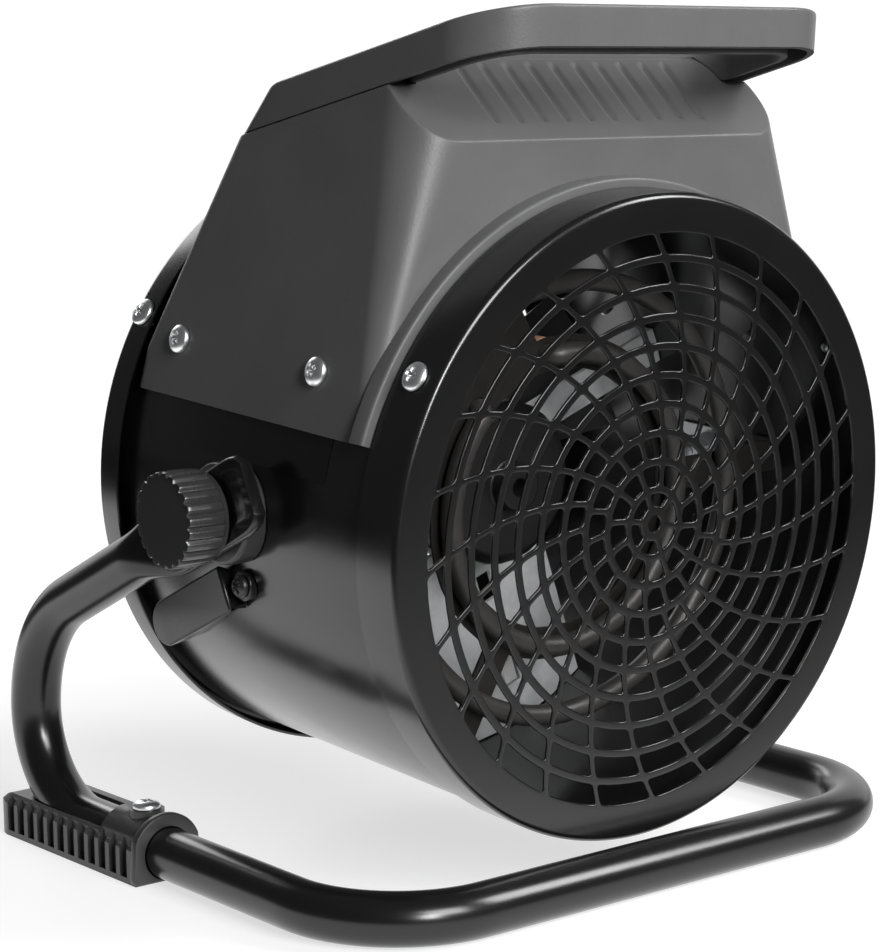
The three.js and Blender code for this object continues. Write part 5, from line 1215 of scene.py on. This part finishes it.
class OBJECT_OT_heater_inside(bpy.types.Operator):
    """Behind the grille: tubular elements, carrier, bushes, motor, bracket and fan"""
    bl_idname = "object.heater_inside"
    bl_label = "Inside"

    def execute(self, context):
        # each tube runs round at one depth and bends back towards the fan at both ends
        tails = []
        first, corner, depth, tail = 138.0, 5.0, 46.0, 70.0
        a = np.linspace(0, np.pi / 2, 10)
        for name, radius, sweep_angle in (("outer", 80.0, 330.0), ("inner", 54.0, 322.0)):
            total, lead = math.radians(sweep_angle), corner / radius
            turn = np.concatenate([[0, 0], lead * (1 - np.cos(a)), np.linspace(lead, total - lead, 150)[1:-1],
                                   total - lead * (1 - np.cos(a[::-1])), [total, total]])
            along = np.concatenate([[tail, tail - 6], depth + corner * (1 - np.sin(a)), np.full(148, depth),
                                    depth + corner * (1 - np.sin(a[::-1])), [tail - 6, tail]])
            angle = math.radians(first) + turn
            section = np.broadcast_to(circle(20, 4.0), (len(angle), 20, 2))
            tube = sweep(Shell(), polar(radius, angle, along), polar(1.0, angle, 0.0), section)
            tube.piece(f"tubular_{name}", "element_steel", f"element_{name}", sharp=60)
            tails += [(radius, first), (radius, first + sweep_angle)]
        ring = rounded([(4.3, 0.0), (6.2, 0.0), (6.2, 11.0), (4.3, 11.0)], 0.6, 3)
        for i, (radius, angle) in enumerate(tails, 1):
            bush = Shell().turn(ring, 40, around(radius, angle, 51.8))
            bush.piece(f"ceramic_bush_{i}", "ceramic", f"element_bush_{i}")
        # The carrier gets a near-black sheet finish in place of its galvanised slot.
        near_black_sheet = finish("near_black_carrier_sheet", (0.035, 0.033, 0.031), 0.45, 0.6, grain=400, bump=0.2,
                        contrast=0.3, mottle=70, spread=0.1)
        softened("element_carrier", "carrier_sheet", "galvanised", 0.3, material=near_black_sheet)
        softened("motor_bracket", "bracket_sheet", "galvanised", 0.4)
        softened("motor", "motor_drum", "black_steel", 0.8, 40)
        self.fan()
        return {"FINISHED"}

    def fan(self):
        """Five twisted blades on a pressed cup: chord, pitch and bow change evenly along each blade."""
        cup = [(3.3, 130), (7, 130), (7, 147), (22, 147), (22, 128), (24, 128), (24, 148), (22, 150),
               (3.3, 150)]
        shell = Shell().turn(rounded(cup, 0.5, 3), 96)
        s = np.linspace(0, 1, 22)[:, None]
        c = np.linspace(-0.5, 0.5, 15)[None]
        radius = 23.2 + (100.0 - 23.2) * s
        pitch = np.radians(34.0 - 12.0 * s)
        chord = (30 + 33 * s) * (1 - 0.06 * (2 * c) ** 2 * s)
        bow = 0.04 * chord * (1 - (2 * c) ** 2)
        for k in range(5):
            faces = []
            for lift in (0.0, 1.4):
                tangential = c * chord * np.cos(pitch) - (bow + lift) * np.sin(pitch)
                axial = c * chord * np.sin(pitch) + (bow + lift) * np.cos(pitch)
                faces.append(polar(radius, math.radians(20 + 72 * k) + tangential / radius, 139 + axial))
            loop = np.concatenate([faces[0], faces[1][:, ::-1]], 1)
            shell.rod(loop)
        shell.piece("fan_rotor", "fan_alloy", "fan", "rotor", sharp=40)


class OBJECT_OT_heater_finish_solids(bpy.types.Operator):
    """Gives every solid that stays visible the finish of its slot"""
    bl_idname = "object.heater_finish_solids"
    bl_label = "Finish solids"

    def execute(self, context):
        look = palette()
        slots = {s["node"]: s["material_slot"] for s in frame["record"]["subparts"]}
        for name, obj in frame["nodes"].items():
            obj.data.materials.clear()
            obj.data.materials.append(look[slots[name]])
        return {"FINISHED"}


# ------------------------------------------------------------------ stage

class SCENE_OT_heater_stage(bpy.types.Operator):
    """Pale floor and backdrop, soft lights and the camera"""
    bl_idname = "scene.heater_stage"
    bl_label = "Stage"

    def execute(self, context):
        scene = context.scene
        scene.view_settings.view_transform = "Standard"
        self.floor()
        self.backdrop()
        self.world(scene)
        self.lights()
        self.camera(scene)
        return {"FINISHED"}

    def sheet(self, name, grid, material, wrap=False):
        """A sheet of the stage over a grid of points in millimetres."""
        shell = Shell().patch(grid, wrap_u=wrap)
        mesh = bpy.data.meshes.new(name)
        mesh.from_pydata((shell.points[0] * MM).tolist(), [], shell.faces)
        mesh.materials.append(material)
        shown(name, mesh)

    def backdrop(self):
        """A white sheet bent around the far side of the heater, from the floor up."""
        material, n, shader = new_material("white_backdrop")
        rays = n.add("LightPath").outputs
        seen = n.math("MAXIMUM", rays["Is Camera Ray"], rays["Is Glossy Ray"])
        n.feed(shader, (("Base Color", (0.2, 0.2, 0.2, 1)), ("Emission Color", WHITE),
                        ("Emission Strength", seen)))
        turn = np.radians(np.linspace(2.0, 98.0, 33))[:, None]
        radius, heights = 4000.0, np.array([0.0, 3470.0])
        self.sheet("backdrop", xyz(radius * np.cos(turn), radius * np.sin(turn), heights), material)

    def floor(self):
        """A round sheet just under the heater, whose pale rim fades into the white surroundings."""
        material, n, shader = new_material("pale_floor")
        rays, place = n.add("LightPath").outputs, n.place()
        reach = n.add("VectorMath", ((0, place),), operation="LENGTH").outputs["Value"]
        behind = n.add("VectorMath", ((0, place), (1, (-0.1, 0.25, 0.0))),
                       operation="DISTANCE").outputs["Value"]
        near = n.math("MULTIPLY", rays["Is Glossy Ray"], n.ramp(behind, 0.34, 0.55, 1.5, 0.0))
        seen = n.math("MAXIMUM", rays["Is Camera Ray"], near)
        glow = n.math("MULTIPLY", n.ramp(reach, 0.15, 0.55, 0.66, 1.0), seen)
        n.feed(shader, (("Roughness", 0.8), ("Emission Color", WHITE), ("Emission Strength", glow),
                        ("Base Color", n.ramp(reach, 0.3, 0.6, 0.42, 0.02, "LINEAR"))))
        profile = [(0.001, -0.05), (900, -0.05), (2600, -0.05)]
        self.sheet("floor", lathe(profile, 96, axis=(0, 0, 1)), material, True)

    def world(self, scene):
        """Even pale surroundings, white to the camera and dim for everything else."""
        scene.world = bpy.data.worlds.new("studio")
        scene.world.use_nodes = True
        n = Nodes(scene.world.node_tree)
        strength = n.math("MULTIPLY_ADD", n.add("LightPath").outputs["Is Camera Ray"], 0.91, 0.09)
        n.feed(n.tree.nodes["Background"], (("Color", WHITE), ("Strength", strength)))

    def lights(self):
        """Soft panels: a large one in front, one right, a low one at the left corner, a weak one behind."""
        power, aim = sizes().key_light, Vector((0, 0, 0.16))
        for name, place, size, share in (("front_panel", (-0.12, -1.47, 0.95), (0.8, 0.6), 1.0),
                                         ("right_panel", (1.02, -1.0, 1.07), (0.45, 0.65), 0.75),
                                         ("corner_panel", (-0.5, -1.56, 0.62), (0.3, 0.4), 0.55),
                                         ("rear_panel", (0.25, 1.9, 1.15), (1.0, 0.8), 0.45)):
            light = bpy.data.lights.new(name, "AREA")
            light.shape = "RECTANGLE"
            light.size, light.size_y = size
            light.energy = share * power
            obj = shown(name, light)
            obj.location = place
            obj.rotation_euler = (aim - Vector(place)).to_track_quat("-Z", "Y").to_euler()

    def camera(self, scene):
        """Camera matched to the photograph: place, view direction, lens and a small shift."""
        right = Vector((0.76288, -0.64654, -0.00331))
        up = Vector((0.12333, 0.14049, 0.98237))
        back = -Vector((0.63467, 0.74983, -0.18691))
        turn = Matrix((right, up, back)).transposed().to_4x4()
        wide, high, focal, centre_x, centre_y = 883, 952, 2692.62, 502.37, 582.73  # in picture points
        camera = bpy.data.cameras.new("camera")
        camera.sensor_width = 36.0
        camera.lens = focal * camera.sensor_width / high
        camera.shift_x = (wide / 2 - centre_x) / high
        camera.shift_y = (centre_y - high / 2) / high
        camera.clip_start, camera.clip_end = 0.05, 40
        scene.camera = shown("camera", camera)
        scene.camera.matrix_world = Matrix.Translation(Vector((-0.64011, -0.77677, 0.28774))) @ turn


# ------------------------------------------------------------------ panel and running

STEPS = (
    SCENE_OT_heater_stage, OBJECT_OT_heater_finish_solids, OBJECT_OT_heater_outlet_guard,
    OBJECT_OT_heater_intake_guard, OBJECT_OT_heater_barrel, OBJECT_OT_heater_cover, OBJECT_OT_heater_handle,
    OBJECT_OT_heater_stand, OBJECT_OT_heater_feet, OBJECT_OT_heater_knobs, OBJECT_OT_heater_screws,
    OBJECT_OT_heater_pivots, OBJECT_OT_heater_controls, OBJECT_OT_heater_inside,
)


class VIEW3D_PT_heater(bpy.types.Panel):
    """Lists the heater's settings and its building steps"""
    bl_label = "Forced Air Heater"
    bl_idname = "VIEW3D_PT_heater"
    bl_space_type = "VIEW_3D"
    bl_region_type = "UI"
    bl_category = "Heater"

    def draw(self, context):
        column = self.layout.column()
        for group in (context.scene.heater_sizes, context.scene.heater_finishes):
            for key in group.__annotations__:
                column.prop(group, key)
        for step in STEPS:
            column.operator(step.bl_idname)


CLASSES = (HeaterSizes, HeaterFinishes, *STEPS, VIEW3D_PT_heater)


def register():
    """Registers the classes and hangs the settings on the scene."""
    for cls in CLASSES:
        bpy.utils.register_class(cls)
    bpy.types.Scene.heater_sizes = PointerProperty(type=HeaterSizes)
    bpy.types.Scene.heater_finishes = PointerProperty(type=HeaterFinishes)


def unregister():
    """Takes the settings and the classes away again."""
    del bpy.types.Scene.heater_finishes
    del bpy.types.Scene.heater_sizes
    for cls in reversed(CLASSES):
        bpy.utils.unregister_class(cls)


def main():
    """Builds everything in order."""
    register()
    for step in STEPS:
        area, name = step.bl_idname.split(".")
        getattr(getattr(bpy.ops, area), name)()


if __name__ == "__main__":
    main()
